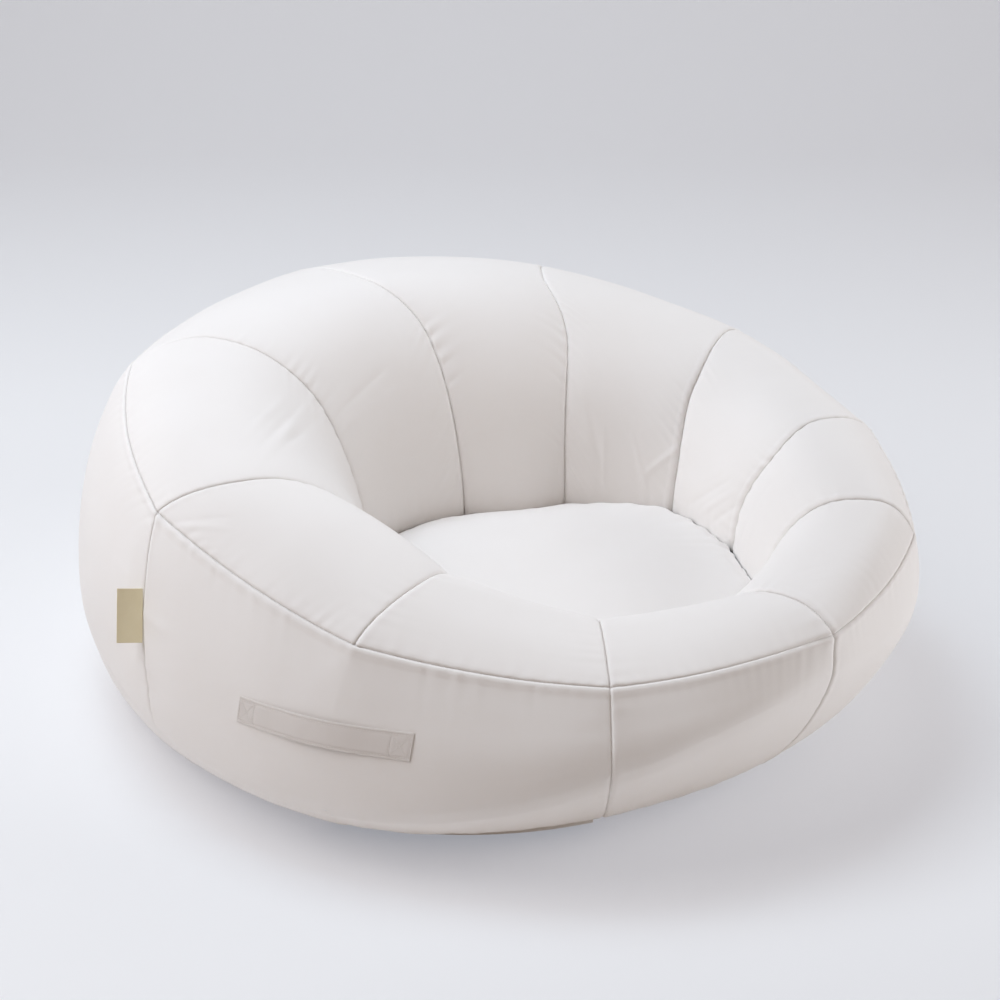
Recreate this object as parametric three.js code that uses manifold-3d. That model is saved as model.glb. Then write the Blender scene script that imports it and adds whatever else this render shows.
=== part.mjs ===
// Inflatable nest lounger: a ring with a high back and a low front round a padded seat, in a sewn cover.
// Millimetres, +Z up, front towards -Y. The origin is on the floor, under the middle of the base.
// Angles run round the seat's centre, from the front (-Y) towards the right (+X).
// A place on the ring's cross-section is its turn: a quarter below 0 is the floor, 0 the widest place
// outside, a quarter the crest, a half the foot of the nest's wall, three quarters the floor again.
import * as THREE from "three";
import { mergeVertices } from "three/addons/utils/BufferGeometryUtils.js";
import Module from "manifold-3d";

const wasm = await Module();
wasm.setup();

const DEGREE = Math.PI / 180;
const QUARTER = Math.PI / 2;
const HALF = Math.PI;
const FULL = 2 * Math.PI;

// Ring: largest reaches from the seat's centre, and largest heights above the floor
const OUTER_REACH = 870;
const CREST_REACH = 550;
const WALL_REACH = 258;
const BULGE_HEIGHT = 200;
const CREST_HEIGHT = 498;
// The ring stands on a round base. The seat's centre is forward of its middle and a little to the right.
const BASE_RADIUS = 530;
const NEST_RIGHT = 0.1415 * BASE_RADIUS;
const NEST_FORWARD = 0.4057 * BASE_RADIUS;
// Share of the way from the nest's wall to the base's edge at which the ring's foot stands
const FOOT_SHARE = 0.35;
// Shares of those sizes at eight places, from the front round by the right: front, front right and so on
const OUTER_SHARES = [0.59, 0.54, 0.575, 0.735, 1, 0.915, 0.75, 0.66];
const CREST_REACH_SHARES = [0.695, 0.745, 0.68, 0.92, 0.865, 1.0, 0.875, 0.667];
const WALL_SHARES = [0.975, 1.01, 0.92, 1.02, 0.92, 1.17, 1.055, 0.99];
const BULGE_SHARES = [1, 0.99, 0.86, 0.76, 0.765, 0.815, 0.655, 0.48];
const CREST_SHARES = [0.546, 0.663, 0.747, 0.821, 1, 0.952, 0.809, 0.606];
// Turn of the shoulder seam at the same eight places
const SHOULDER_TURNS = [45, 37, 53, 48, 45, 59, 55, 53].map((degrees) => degrees * DEGREE);
// Exponents of the section's quarter curves: 1 is an ellipse, more is flatter, less is fuller
const LOWER_EXPONENT = 1.43;
const UPPER_EXPONENT = 0.91;

// Cover
const GORE_COUNT = 10;
const GORE_ANGLE = FULL / GORE_COUNT;
const GORE_FLATTENING_SHARE = 0.45;
const COVER_THICKNESS = 1.2;
const SEAM_GAP = 0.3;
// The left side seam leans forward as it goes down from the shoulder seam
const SEAM_LEAN = 8.5 * DEGREE;
const SEAM_LEAN_AT = -90 * DEGREE;
const SEAM_LEAN_SPAN = 30 * DEGREE;
const LEAN_PASSES = 4;
// Degrees that each gore seam strays from its even place, from the front's right seam round by the right.
// The seams keep to their even places up to the shoulder and again at the seat.
const SHIFT_TURNS = [50, 90, 125, 160].map((degrees) => degrees * DEGREE);
const CREST_SHIFTS = [0, -1.7, -2.6, 4, 2.5, 1.7, -4.2, 3.1, 1.5, 0];
const WALL_SHIFTS = [0, -0.7, -5, 2.4, -1.5, -0.5, -3.5, 3.5, 0.5, 0];
const BASE_SEAM_HEIGHT = 18;

// Seat
const SEAT_HEIGHT = 214;
const SEAT_CROWN = 20;
const SEAT_EDGE_DROP = 9;
const WALL_FOOT_DROP = 73;
// Exponents of the seat's fall from its middle and of its rounded edge
const CROWN_EXPONENT = 2;
const EDGE_EXPONENT = 8;

// Bladders
const BLADDER_WALL = 0.5;
const BLADDER_CORNER = 55;

// Base zip: two tapes with a slot between them, along the base seam of the left side panel
const ZIP_WIDTH = 12;
const ZIP_FROM = -63 * DEGREE;
const ZIP_TO = -18 * DEGREE;
const ZIP_END_MARGIN = 1.2 * DEGREE;
const ZIP_GROOVE = 8;
const ZIP_SLOT = 1.2;
const TAPE_THICKNESS = 0.8;
const COIL_WIDTH = 2.4;
const COIL_THICKNESS = 1.6;
const SLIDER_LENGTH = 15;
const SLIDER_STOP = 1;
const SLIDER_WIDTH = 9;
const SLIDER_PLATE = 1.3;
const SLIDER_NECK = 0.6;
const BRIDGE_LENGTH = 7;
const BRIDGE_WIDTH = 2.4;
const BRIDGE_HEIGHT = 4.2;
const BRIDGE_BAR = 1.2;
const PULL_LENGTH = 26;
const PULL_WIDTH = 7;
const PULL_THICKNESS = 1.4;
const PULL_BAR = 1.8;
const PULL_HOLE = 4.4;
const PULL_ARM = 1.6;

// Carry handles and label
const HANDLE_LENGTH = 246;
const HANDLE_WIDTH = 31;
const HANDLE_THICKNESS = 1.8;
const HANDLE_BOW = 3;
const HANDLE_STANDOFF = 3 * SEAM_GAP;
const HANDLE_HEIGHT = 186;
const HANDLE_ANGLES = { front_left: -55.5 * DEGREE, rear_right: 125 * DEGREE };
const LABEL_WIDTH = 30;
const LABEL_LOW = 210;
const LABEL_HIGH = 274;
const LABEL_ANGLE = 65 * DEGREE;
const LABEL_THICKNESS = 0.9;

// Valves
const VALVE_BORE = 11;
const VALVE_NECK = 14;
const VALVE_NECK_LENGTH = 9;
const VALVE_FLANGE = 24;
const VALVE_FLANGE_THICKNESS = 1.8;
const VALVE_COLLAR_HEIGHT = 6;
const VALVE_CAP_WALL = 2.2;
const VALVE_FLAP_THICKNESS = 1.2;
const VALVE_FLAP_LAP = 1.5;
const VALVE_POCKET = 31;
const VALVE_POCKET_DEPTH = 16;
const GRIP_HEIGHT = 3;
const GRIP_WIDTH = 4;
const VALVE_HEIGHT_SHARE = 0.8;
const SEAT_VALVE_REACH_SHARE = 0.6;

// Mesh fineness
const COLUMN_ANGLE = 9 * DEGREE;
const ROUND_COLUMNS = Math.round(FULL / COLUMN_ANGLE);
const ROW_COUNTS = { low: 1, seam: 2, band: 5, gore: 12, wall: 1, foot: 3 };
const STRAP_STEPS = 24;
const ROUND_STEPS = 32;
const CUT_OVERRUN = 20;
const PROBE_TURN = 0.9 * DEGREE;
const MERGE_DISTANCE = SEAM_GAP / 100;

const colours = {
  cover: new THREE.MeshStandardMaterial({ color: 0xf0e9e4, roughness: 0.85, metalness: 0 }),
  seat: new THREE.MeshStandardMaterial({ color: 0xf1e8e1, roughness: 0.85, metalness: 0 }),
  webbing: new THREE.MeshStandardMaterial({ color: 0xe6dfdb, roughness: 0.8, metalness: 0 }),
  label: new THREE.MeshStandardMaterial({ color: 0xeee3bf, roughness: 0.8, metalness: 0 }),
  bladder: new THREE.MeshStandardMaterial({ color: 0xdfe4e6, roughness: 0.35, metalness: 0 }),
  valve: new THREE.MeshStandardMaterial({ color: 0xf2f2f0, roughness: 0.4, metalness: 0 }),
  flap: new THREE.MeshStandardMaterial({ color: 0xcfd4d6, roughness: 0.6, metalness: 0 }),
  zip: new THREE.MeshStandardMaterial({ color: 0xece7e2, roughness: 0.7, metalness: 0 }),
};

const lounger = new THREE.Group();
const lerp = THREE.MathUtils.lerp;
const clamp = THREE.MathUtils.clamp;
const seatCentre = new THREE.Vector3(NEST_RIGHT, -NEST_FORWARD, 0);

function place(name, geometry, material, parent = lounger) {
  const mesh = new THREE.Mesh(geometry, material);
  mesh.name = name;
  parent.add(mesh);
  return mesh;
}

// Value at an angle, carried smoothly through equally spaced shares by their finite Fourier series.
function around(shares, angle) {
  const count = shares.length;
  return shares.reduce((sum, share, k) => {
    const away = angle - (FULL * k) / count;
    if (Math.abs(Math.sin(away / 2)) < Number.EPSILON ** 0.5) return sum + share;
    return sum + (share * Math.sin((count * away) / 2)) / (count * Math.tan(away / 2));
  }, 0);
}

// Distance from the seat's centre to the round base's edge.
function baseReach(angle) {
  const towards = NEST_FORWARD * -Math.cos(angle) - NEST_RIGHT * Math.sin(angle);
  return towards + Math.sqrt(BASE_RADIUS ** 2 - NEST_FORWARD ** 2 - NEST_RIGHT ** 2 + towards ** 2);
}

// Sizes of the ring's cross-section at an angle.
function sectionAt(angle) {
  const side = OUTER_REACH * around(OUTER_SHARES, angle);
  const wall = WALL_REACH * around(WALL_SHARES, angle);
  const base = baseReach(angle);
  return {
    side,
    wall,
    base,
    foot: lerp(wall, base, FOOT_SHARE),
    crest: CREST_REACH * around(CREST_REACH_SHARES, angle),
    sideHeight: BULGE_HEIGHT * around(BULGE_SHARES, angle),
    crestHeight: CREST_HEIGHT * around(CREST_SHARES, angle),
    wallFootHeight: SEAT_HEIGHT - WALL_FOOT_DROP,
  };
}

const shoulderTurn = (angle) => around(SHOULDER_TURNS, angle);

// The gores are nearly flat between their seams, so the ring is drawn in there, less and less down the band.
function goreFactor(column, turn) {
  const fromMiddle = column - Math.round(column / GORE_ANGLE) * GORE_ANGLE;
  const chord = Math.cos(GORE_ANGLE / 2) / Math.cos(fromMiddle);
  return 1 - GORE_FLATTENING_SHARE * (1 - chord) * clamp(turn / shoulderTurn(column), 0, 1);
}

// How far the gore seams stray from their even places at a turn.
function seamShift(column, turn) {
  const [start, crest, wall, end] = SHIFT_TURNS;
  const past = column - GORE_ANGLE / 2;
  const onWall = THREE.MathUtils.smoothstep(turn, crest, wall);
  const there = THREE.MathUtils.smoothstep(turn, start, crest) - THREE.MathUtils.smoothstep(turn, wall, end);
  return there * DEGREE * lerp(around(CREST_SHIFTS, past), around(WALL_SHIFTS, past), onWall);
}

// Angle of a column of the surface at a turn, with the left side seam's lean and the gore seams' shifts.
function leaning(column, turn) {
  const away = Math.abs(Math.atan2(Math.sin(column - SEAM_LEAN_AT), Math.cos(column - SEAM_LEAN_AT)));
  const near = Math.cos(Math.min(away / SEAM_LEAN_SPAN, 1) * QUARTER) ** 2;
  const lean = SEAM_LEAN * near * clamp(1 - turn / shoulderTurn(column), 0, 1);
  return column + lean + seamShift(column, turn);
}

// Point of the ring's surface, or of a surface that lies the inset inside it.
function ringPoint(column, turn, inset = 0) {
  const angle = leaning(column, turn);
  const at = sectionAt(angle);
  const across = Math.abs(Math.cos(turn));
  const along = Math.abs(Math.sin(turn));
  const side = at.side - inset;
  const wall = at.wall + inset;
  const crestHeight = at.crestHeight - inset;
  let reach;
  let height;
  if (turn <= 0) {
    reach = at.base + (side - at.base) * across ** LOWER_EXPONENT;
    height = inset + (at.sideHeight - inset) * (1 - along ** LOWER_EXPONENT);
  } else if (turn <= QUARTER) {
    reach = at.crest + (side - at.crest) * across ** UPPER_EXPONENT;
    height = at.sideHeight + (crestHeight - at.sideHeight) * along ** UPPER_EXPONENT;
  } else if (turn <= HALF) {
    reach = at.crest - (at.crest - wall) * across ** UPPER_EXPONENT;
    height = at.wallFootHeight + (crestHeight - at.wallFootHeight) * along ** UPPER_EXPONENT;
  } else {
    reach = at.foot - (at.foot - wall) * across ** UPPER_EXPONENT;
    height = inset + (at.wallFootHeight - inset) * (1 - along ** UPPER_EXPONENT);
  }
  reach *= goreFactor(column, turn);
  return new THREE.Vector3(Math.sin(angle) * reach, -Math.cos(angle) * reach, height).add(seatCentre);
}

const reachOf = (point) => Math.hypot(point.x - seatCentre.x, point.y - seatCentre.y);

// Turn at which the ring's outside has a height. The lean depends on the turn, so a few passes settle both.
function outsideTurn(column, height) {
  let turn = 0;
  for (let pass = 0; pass < LEAN_PASSES; pass++) {
    const at = sectionAt(leaning(column, turn));
    const below = 1 - height / at.sideHeight;
    const above = (height - at.sideHeight) / (at.crestHeight - at.sideHeight);
    turn = below > 0 ? -Math.asin(below ** (1 / LOWER_EXPONENT)) : Math.asin(above ** (1 / UPPER_EXPONENT));
  }
  return turn;
}

// Turn on the nest's wall at which it has a height.
function wallTurn(angle, height) {
  const at = sectionAt(angle);
  const rise = (height - at.wallFootHeight) / (at.crestHeight - at.wallFootHeight);
  return HALF - Math.asin(rise ** (1 / UPPER_EXPONENT));
}

// Turn that moves a point of the surface by half a seam's gap.
function halfGapTurn(angle, turn) {
  const moved = ringPoint(angle, turn).distanceTo(ringPoint(angle, turn + PROBE_TURN));
  return ((SEAM_GAP / 2) * PROBE_TURN) / moved;
}

const ZIP_LOW = BASE_SEAM_HEIGHT - ZIP_WIDTH / 2;
const ZIP_HIGH = BASE_SEAM_HEIGHT + ZIP_WIDTH / 2;
const SEAT_RIM_HEIGHT = SEAT_HEIGHT - SEAT_CROWN - SEAT_EDGE_DROP + COVER_THICKNESS;
const goreSeam = (k) => (k - 0.5) * GORE_ANGLE;

// Turns of the rows that every layer of the ring shares, so that its layers stay parallel.
function rowTurns(angle) {
  const knots = [
    [-QUARTER, ROW_COUNTS.low],
    [outsideTurn(angle, ZIP_LOW), ROW_COUNTS.seam],
    [outsideTurn(angle, ZIP_HIGH), ROW_COUNTS.band],
    [shoulderTurn(angle), ROW_COUNTS.gore],
    [wallTurn(angle, SEAT_RIM_HEIGHT), ROW_COUNTS.wall],
    [HALF, ROW_COUNTS.foot],
    [HALF + QUARTER, 0],
  ];
  const turns = [];
  knots.forEach(([turn, count], k) => {
    for (let i = 0; i < count; i++) turns.push(lerp(turn, knots[k + 1][0], i / count));
  });
  return [...turns, HALF + QUARTER];
}

// Mesh of points and triangles with shared vertices merged, empty triangles dropped and faces outwards.
function closedMesh(points, triangles) {
  const positions = new Float32Array(points.flatMap((p) => [p.x, p.y, p.z]));
  const raw = new THREE.BufferGeometry()
    .setAttribute("position", new THREE.BufferAttribute(positions, 3))
    .setIndex(triangles.flat());
  const merged = mergeVertices(raw, MERGE_DISTANCE);
  const at = merged.attributes.position;
  const index = [...merged.index.array];
  const corners = [new THREE.Vector3(), new THREE.Vector3(), new THREE.Vector3()];
  const kept = [];
  let volume = 0;
  for (let i = 0; i < index.length; i += 3) {
    const [a, b, c] = index.slice(i, i + 3);
    if (a === b || b === c || c === a) continue;
    kept.push([a, b, c]);
    corners.forEach((corner, k) => corner.fromBufferAttribute(at, [a, b, c][k]));
    volume += corners[0].dot(corners[1].clone().cross(corners[2])) / 6;
  }
  merged.setIndex((volume < 0 ? kept.map(([a, b, c]) => [a, c, b]) : kept).flat());
  merged.computeVertexNormals();
  return merged;
}

// Triangles of a grid, all split along the same diagonal.
function gridTriangles(rows, columns, options = {}) {
  const { wrapRows = false, wrapColumns = false, first = 0, turned = false } = options;
  const triangles = [];
  for (let j = 0; j < (wrapRows ? rows : rows - 1); j++) {
    for (let i = 0; i < (wrapColumns ? columns : columns - 1); i++) {
      const a = first + j * columns + i;
      const b = first + j * columns + ((i + 1) % columns);
      const c = first + ((j + 1) % rows) * columns + ((i + 1) % columns);
      const d = first + ((j + 1) % rows) * columns + i;
      triangles.push(turned ? [a, c, b] : [a, b, c], turned ? [a, d, c] : [a, c, d]);
    }
  }
  return triangles;
}

// Closed mesh between two grids of equal size, with a rim round its open edges.
function sheet(front, back, wrapColumns = false) {
  const rows = front.length;
  const columns = front[0].length;
  const size = rows * columns;
  const triangles = [
    ...gridTriangles(rows, columns, { wrapColumns }),
    ...gridTriangles(rows, columns, { wrapColumns, first: size, turned: true }),
  ];
  const rim = (a, b) => triangles.push([a, size + b, b], [a, size + a, size + b]);
  for (let i = 0; i < (wrapColumns ? columns : columns - 1); i++) {
    const next = (i + 1) % columns;
    const last = (rows - 1) * columns;
    rim(i, next);
    rim(last + next, last + i);
  }
  for (let j = 0; !wrapColumns && j < rows - 1; j++) {
    rim((j + 1) * columns, j * columns);
    rim(j * columns + columns - 1, (j + 1) * columns + columns - 1);
  }
  return closedMesh([...front.flat(), ...back.flat()], triangles);
}

function gridMesh(grid, options) {
  return closedMesh(grid.flat(), gridTriangles(grid.length, grid[0].length, options));
}

// Geometry as a solid for booleans, and back.
function solidOf(geometry, matrix = new THREE.Matrix4()) {
  const bare = geometry.clone().applyMatrix4(matrix);
  bare.deleteAttribute("normal");
  bare.deleteAttribute("uv");
  const merged = mergeVertices(bare, MERGE_DISTANCE);
  return new wasm.Manifold(
    new wasm.Mesh({
      numProp: 3,
      vertProperties: merged.attributes.position.array,
      triVerts: new Uint32Array(merged.index.array),
    }),
  );
}

function geometryOf(solid) {
  const { vertProperties, triVerts } = solid.getMesh();
  const geometry = new THREE.BufferGeometry()
    .setAttribute("position", new THREE.BufferAttribute(vertProperties, 3))
    .setIndex(new THREE.BufferAttribute(triVerts, 1));
  geometry.computeVertexNormals();
  return geometry;
}

// Cylinder along Z from one height to another.
function rod(radius, low, high) {
  return new THREE.CylinderGeometry(radius, radius, high - low, ROUND_STEPS)
    .rotateX(QUARTER)
    .translate(0, 0, (low + high) / 2);
}

// Columns of a panel between two angles, drawn in by half a gap at its ends and double where its edge steps.
function panelColumns(from, to, stepAngles = [], closed = false) {
  const count = Math.round((to - from) / COLUMN_ANGLE);
  const columns = [];
  for (let i = 0; i <= count; i++) {
    const angle = from + i * COLUMN_ANGLE;
    const margin = SEAM_GAP / 2 / reachOf(ringPoint(angle, 0));
    const steps = stepAngles.some((step) => Math.abs(step - angle) < COLUMN_ANGLE / 2);
    if (closed ? !steps : i > 0 && i < count && !steps) columns.push(angle);
    if (steps ? closed || i > 0 : !closed && i === count) columns.push(angle - margin);
    if (steps ? closed || i < count : !closed && i === 0) columns.push(angle + margin);
  }
  return closed ? columns.slice(0, -1) : columns;
}

const ZIP_ENDS = [ZIP_FROM + FULL, ZIP_TO + FULL];
const alongZip = (angle) => angle > ZIP_ENDS[0] && angle < ZIP_ENDS[1];

// Fabric panel of the ring between two angles, with a row of turns for each row of the grid.
function coverPanel(from, to, rows, turnAt, stepAngles) {
  const columns = panelColumns(from, to, stepAngles);
  const face = (inset) =>
    Array.from({ length: rows + 1 }, (_, j) =>
      columns.map((angle) => ringPoint(angle, turnAt(angle, j), inset)),
    );
  return sheet(face(0), face(COVER_THICKNESS));
}

const firstRow = {
  seam: ROW_COUNTS.low + 1,
  shoulder: ROW_COUNTS.low + ROW_COUNTS.seam + ROW_COUNTS.band,
};

// Top gores, from the shoulder seam over the crest and down the nest's wall to the seat
const goreNames = [
  "front", "front_right", "right_front", "right_rear", "rear_right",
  "rear", "rear_left", "left_rear", "left_front", "front_left",
];
goreNames.forEach((name, k) => {
  const geometry = coverPanel(goreSeam(k), goreSeam(k + 1), ROW_COUNTS.gore, (angle, j) => {
    const turn = rowTurns(angle)[firstRow.shoulder + j];
    if (j === 0) return turn + halfGapTurn(angle, turn);
    return j === ROW_COUNTS.gore ? turn - halfGapTurn(angle, turn) : turn;
  });
  place(`top_gore_${name}`, geometry, colours.cover);
});

// Side band below the shoulder seam, in four panels between gore seams. The left one stops above the zip.
const bandPanels = { front: [0, 1], right: [1, 3], rear: [3, 8], left: [8, 10] };
const bandRows = ROW_COUNTS.seam + ROW_COUNTS.band - 1;
for (const [name, [from, to]] of Object.entries(bandPanels)) {
  const geometry = coverPanel(goreSeam(from), goreSeam(to), bandRows, (angle, j) => {
    const turn = rowTurns(angle)[firstRow.seam + j];
    if (j === bandRows) return turn - halfGapTurn(angle, turn);
    const lowest = alongZip(angle) ? ZIP_HIGH + SEAM_GAP * (1 + j) : BASE_SEAM_HEIGHT + SEAM_GAP / 2;
    return Math.max(turn, outsideTurn(angle, lowest));
  }, ZIP_ENDS);
  place(`side_panel_${name}`, geometry, colours.cover);
}

// Base panel: flat on the floor, with a rim that rises to the base seam, lower along the zip
function basePanel() {
  const columns = panelColumns(0, FULL, ZIP_ENDS, true);
  const belowZip = ZIP_LOW - COVER_THICKNESS - SEAM_GAP;
  const rimTop = (angle) => (alongZip(angle) ? belowZip : BASE_SEAM_HEIGHT - SEAM_GAP / 2);
  const rimFold = (angle) => (alongZip(angle) ? belowZip - COVER_THICKNESS : ZIP_LOW);
  const face = (inset) => [
    ...[0, 1 / 2, 1].map((share) =>
      columns.map((angle) => {
        const rim = ringPoint(angle, -QUARTER, inset);
        return new THREE.Vector3(share * rim.x, share * rim.y, inset);
      }),
    ),
    ...[rimFold, rimTop].map((height) =>
      columns.map((angle) => ringPoint(angle, outsideTurn(angle, height(angle)), inset)),
    ),
  ];
  return sheet(face(0), face(COVER_THICKNESS), true);
}
place("base_panel", basePanel(), colours.cover);

// Seat cover: a round of fabric with a crown and a rim drawn down to the gores' lower ends
const seatLift = (share) =>
  SEAT_CROWN * (1 - share ** CROWN_EXPONENT) + SEAT_EDGE_DROP * (1 - share ** EDGE_EXPONENT);
function seatRows(reachAt, shares, drop) {
  return shares.map((share) =>
    Array.from({ length: ROUND_COLUMNS }, (_, i) => {
      const angle = i * COLUMN_ANGLE;
      const reach = share * reachAt(angle);
      const height = SEAT_RIM_HEIGHT - drop + seatLift(share);
      return new THREE.Vector3(Math.sin(angle) * reach, -Math.cos(angle) * reach, height).add(seatCentre);
    }),
  );
}
const nestReach = (angle) => reachOf(ringPoint(angle, wallTurn(angle, SEAT_RIM_HEIGHT)));
const seatReach = (angle) => nestReach(angle) - SEAM_GAP;
const SEAT_SHARES = [0, 0.3, 0.6, 0.8, 0.92, 1];
place(
  "seat_cover",
  sheet(seatRows(seatReach, SEAT_SHARES, 0), seatRows(seatReach, SEAT_SHARES, COVER_THICKNESS), true),
  colours.seat,
);

// Valve: collar and neck on a flange, check flap under the neck, twist-lock cap on the collar.
// Its axis is the pocket's, with its own zero at the pocket's floor.
const collarOutside = VALVE_NECK;
const capInside = collarOutside + SEAM_GAP;
const flangeTop = SEAM_GAP + VALVE_FLANGE_THICKNESS;
const collarTop = flangeTop + VALVE_COLLAR_HEIGHT;
function lathe(profile) {
  const outline = profile.map(([r, z]) => new THREE.Vector2(r, z));
  return new THREE.LatheGeometry(outline, ROUND_STEPS).rotateX(QUARTER);
}
function valveParts(name, matrix) {
  const group = new THREE.Group();
  group.applyMatrix4(matrix);
  lounger.add(group);
  const body = lathe([
    [VALVE_BORE, -VALVE_NECK_LENGTH],
    [VALVE_NECK, -VALVE_NECK_LENGTH],
    [VALVE_NECK, SEAM_GAP],
    [VALVE_FLANGE, SEAM_GAP],
    [VALVE_FLANGE, flangeTop],
    [collarOutside, flangeTop],
    [collarOutside, collarTop],
    [VALVE_BORE, collarTop],
    [VALVE_BORE, -VALVE_NECK_LENGTH],
  ]);
  place(`${name}_valve_body`, body, colours.valve, group);
  const capFloor = collarTop + SEAM_GAP;
  const dome = lathe([
    [0, capFloor],
    [capInside, capFloor],
    [capInside, flangeTop + SEAM_GAP],
    [capInside + VALVE_CAP_WALL, flangeTop + SEAM_GAP],
    [capInside + VALVE_CAP_WALL, capFloor + VALVE_CAP_WALL],
    [0, capFloor + VALVE_CAP_WALL],
  ]);
  const grip = new THREE.BoxGeometry(2 * capInside, GRIP_WIDTH, VALVE_CAP_WALL / 2 + GRIP_HEIGHT)
    .translate(0, 0, capFloor + VALVE_CAP_WALL + GRIP_HEIGHT / 2 - VALVE_CAP_WALL / 4);
  place(`${name}_valve_cap`, geometryOf(solidOf(dome).add(solidOf(grip))), colours.valve, group);
  const flapTop = -VALVE_NECK_LENGTH - SEAM_GAP;
  const flap = rod(VALVE_BORE + VALVE_FLAP_LAP, flapTop - VALVE_FLAP_THICKNESS, flapTop);
  place(`${name}_valve_flap`, flap, colours.flap, group);
}

// Hollow bladder from its outside and its air, with a pocket for its valve and for what else it holds.
function bladder(name, outside, air, matrix, pocketAt) {
  const pocket = solidOf(rod(VALVE_POCKET, 0, VALVE_POCKET_DEPTH + CUT_OVERRUN), matrix);
  const lining = rod(VALVE_POCKET + BLADDER_WALL, -BLADDER_WALL, VALVE_POCKET_DEPTH + CUT_OVERRUN);
  const bore = rod(VALVE_NECK + SEAM_GAP, -CUT_OVERRUN, CUT_OVERRUN);
  let skin = solidOf(outside).subtract(pocket);
  let hollow = solidOf(air).subtract(solidOf(lining, matrix));
  if (pocketAt) {
    skin = skin.subtract(solidOf(pocketAt(0)));
    hollow = hollow.subtract(solidOf(pocketAt(BLADDER_WALL)));
  }
  const opened = skin.subtract(hollow).subtract(solidOf(bore, matrix));
  place(`${name}_bladder`, geometryOf(opened), colours.bladder);
  valveParts(name, matrix);
}

// Frame whose Z axis is a direction and whose origin is a point.
function frameAt(origin, direction) {
  const turn = new THREE.Quaternion().setFromUnitVectors(new THREE.Vector3(0, 0, 1), direction);
  return new THREE.Matrix4().compose(origin, turn, new THREE.Vector3(1, 1, 1));
}

// Direction out of the ring's surface.
function ringNormal(angle, turn) {
  const along = ringPoint(angle + PROBE_TURN, turn).sub(ringPoint(angle - PROBE_TURN, turn));
  const up = ringPoint(angle, turn + PROBE_TURN).sub(ringPoint(angle, turn - PROBE_TURN));
  return along.cross(up).normalize();
}

// Zip arc: the circle through three places of the base seam
function circleThrough(a, b, c) {
  const [ax, ay, bx, by] = [b.x - a.x, b.y - a.y, c.x - a.x, c.y - a.y];
  const [u, v, w] = [(ax * ax + ay * ay) / 2, (bx * bx + by * by) / 2, ax * by - ay * bx];
  const centre = new THREE.Vector2(a.x + (u * by - v * ay) / w, a.y + (ax * v - bx * u) / w);
  return { centre, radius: Math.hypot(a.x - centre.x, a.y - centre.y) };
}
const seamPoint = (angle) => ringPoint(angle, outsideTurn(angle, BASE_SEAM_HEIGHT));
const zipMarks = [
  seamPoint(ZIP_ENDS[0] + ZIP_END_MARGIN),
  seamPoint((ZIP_ENDS[0] + ZIP_ENDS[1]) / 2),
  seamPoint(ZIP_ENDS[1] - ZIP_END_MARGIN),
];
const zip = circleThrough(...zipMarks);
const zipBearing = (point) => Math.atan2(point.y - zip.centre.y, point.x - zip.centre.x);
const zipSpan = [zipBearing(zipMarks[0]), zipBearing(zipMarks[2])];
function zipPoint(bearing, height, proud) {
  const reach = zip.radius + proud;
  return new THREE.Vector3(
    zip.centre.x + Math.cos(bearing) * reach,
    zip.centre.y + Math.sin(bearing) * reach,
    height,
  );
}

// Bar along the zip's arc, from an outline of heights and distances proud of the arc.
function zipBar(outline, [from, to]) {
  const points = [];
  for (let k = 0; k <= STRAP_STEPS; k++) {
    const bearing = lerp(from, to, k / STRAP_STEPS);
    points.push(...outline.map(([height, proud]) => zipPoint(bearing, height, proud)));
  }
  const flat = outline.map(([x, y]) => new THREE.Vector2(x, y));
  const last = STRAP_STEPS * outline.length;
  const facing = THREE.ShapeUtils.area(flat) > 0;
  const triangles = gridTriangles(STRAP_STEPS + 1, outline.length, { wrapColumns: true });
  for (const [a, b, c] of THREE.ShapeUtils.triangulateShape(flat, [])) {
    triangles.push(facing ? [a, c, b] : [a, b, c]);
    triangles.push(facing ? [last + a, last + b, last + c] : [last + a, last + c, last + b]);
  }
  return closedMesh(points, triangles);
}

// One tape with its row of coils on the inner side. The sign tells the upper tape from the lower one.
function zipTape(sign) {
  const inner = BASE_SEAM_HEIGHT + (sign * ZIP_SLOT) / 2;
  const outer = BASE_SEAM_HEIGHT + (sign * ZIP_WIDTH) / 2;
  const outline = [
    [inner, TAPE_THICKNESS],
    [outer, TAPE_THICKNESS],
    [outer, 0],
    [inner + sign * COIL_WIDTH, 0],
    [inner + sign * COIL_WIDTH, -COIL_THICKNESS],
    [inner, -COIL_THICKNESS],
  ];
  return zipBar(sign > 0 ? outline : outline.reverse(), zipSpan);
}
place("zip_tape_upper", zipTape(1), colours.zip);
place("zip_tape_lower", zipTape(-1), colours.zip);

// Groove that the bladder leaves for the tapes and the slider
function zipGroove(wall) {
  const [low, high] = [ZIP_LOW - 2 * SEAM_GAP - wall, ZIP_HIGH + 2 * SEAM_GAP + wall];
  const [deep, shallow] = [-ZIP_GROOVE - wall, CUT_OVERRUN];
  const spread = ZIP_END_MARGIN / 2 + wall / zip.radius;
  const outline = [[low, shallow], [low, deep], [high, deep], [high, shallow]];
  return zipBar(outline, [zipSpan[0] - spread, zipSpan[1] + spread]);
}

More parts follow.
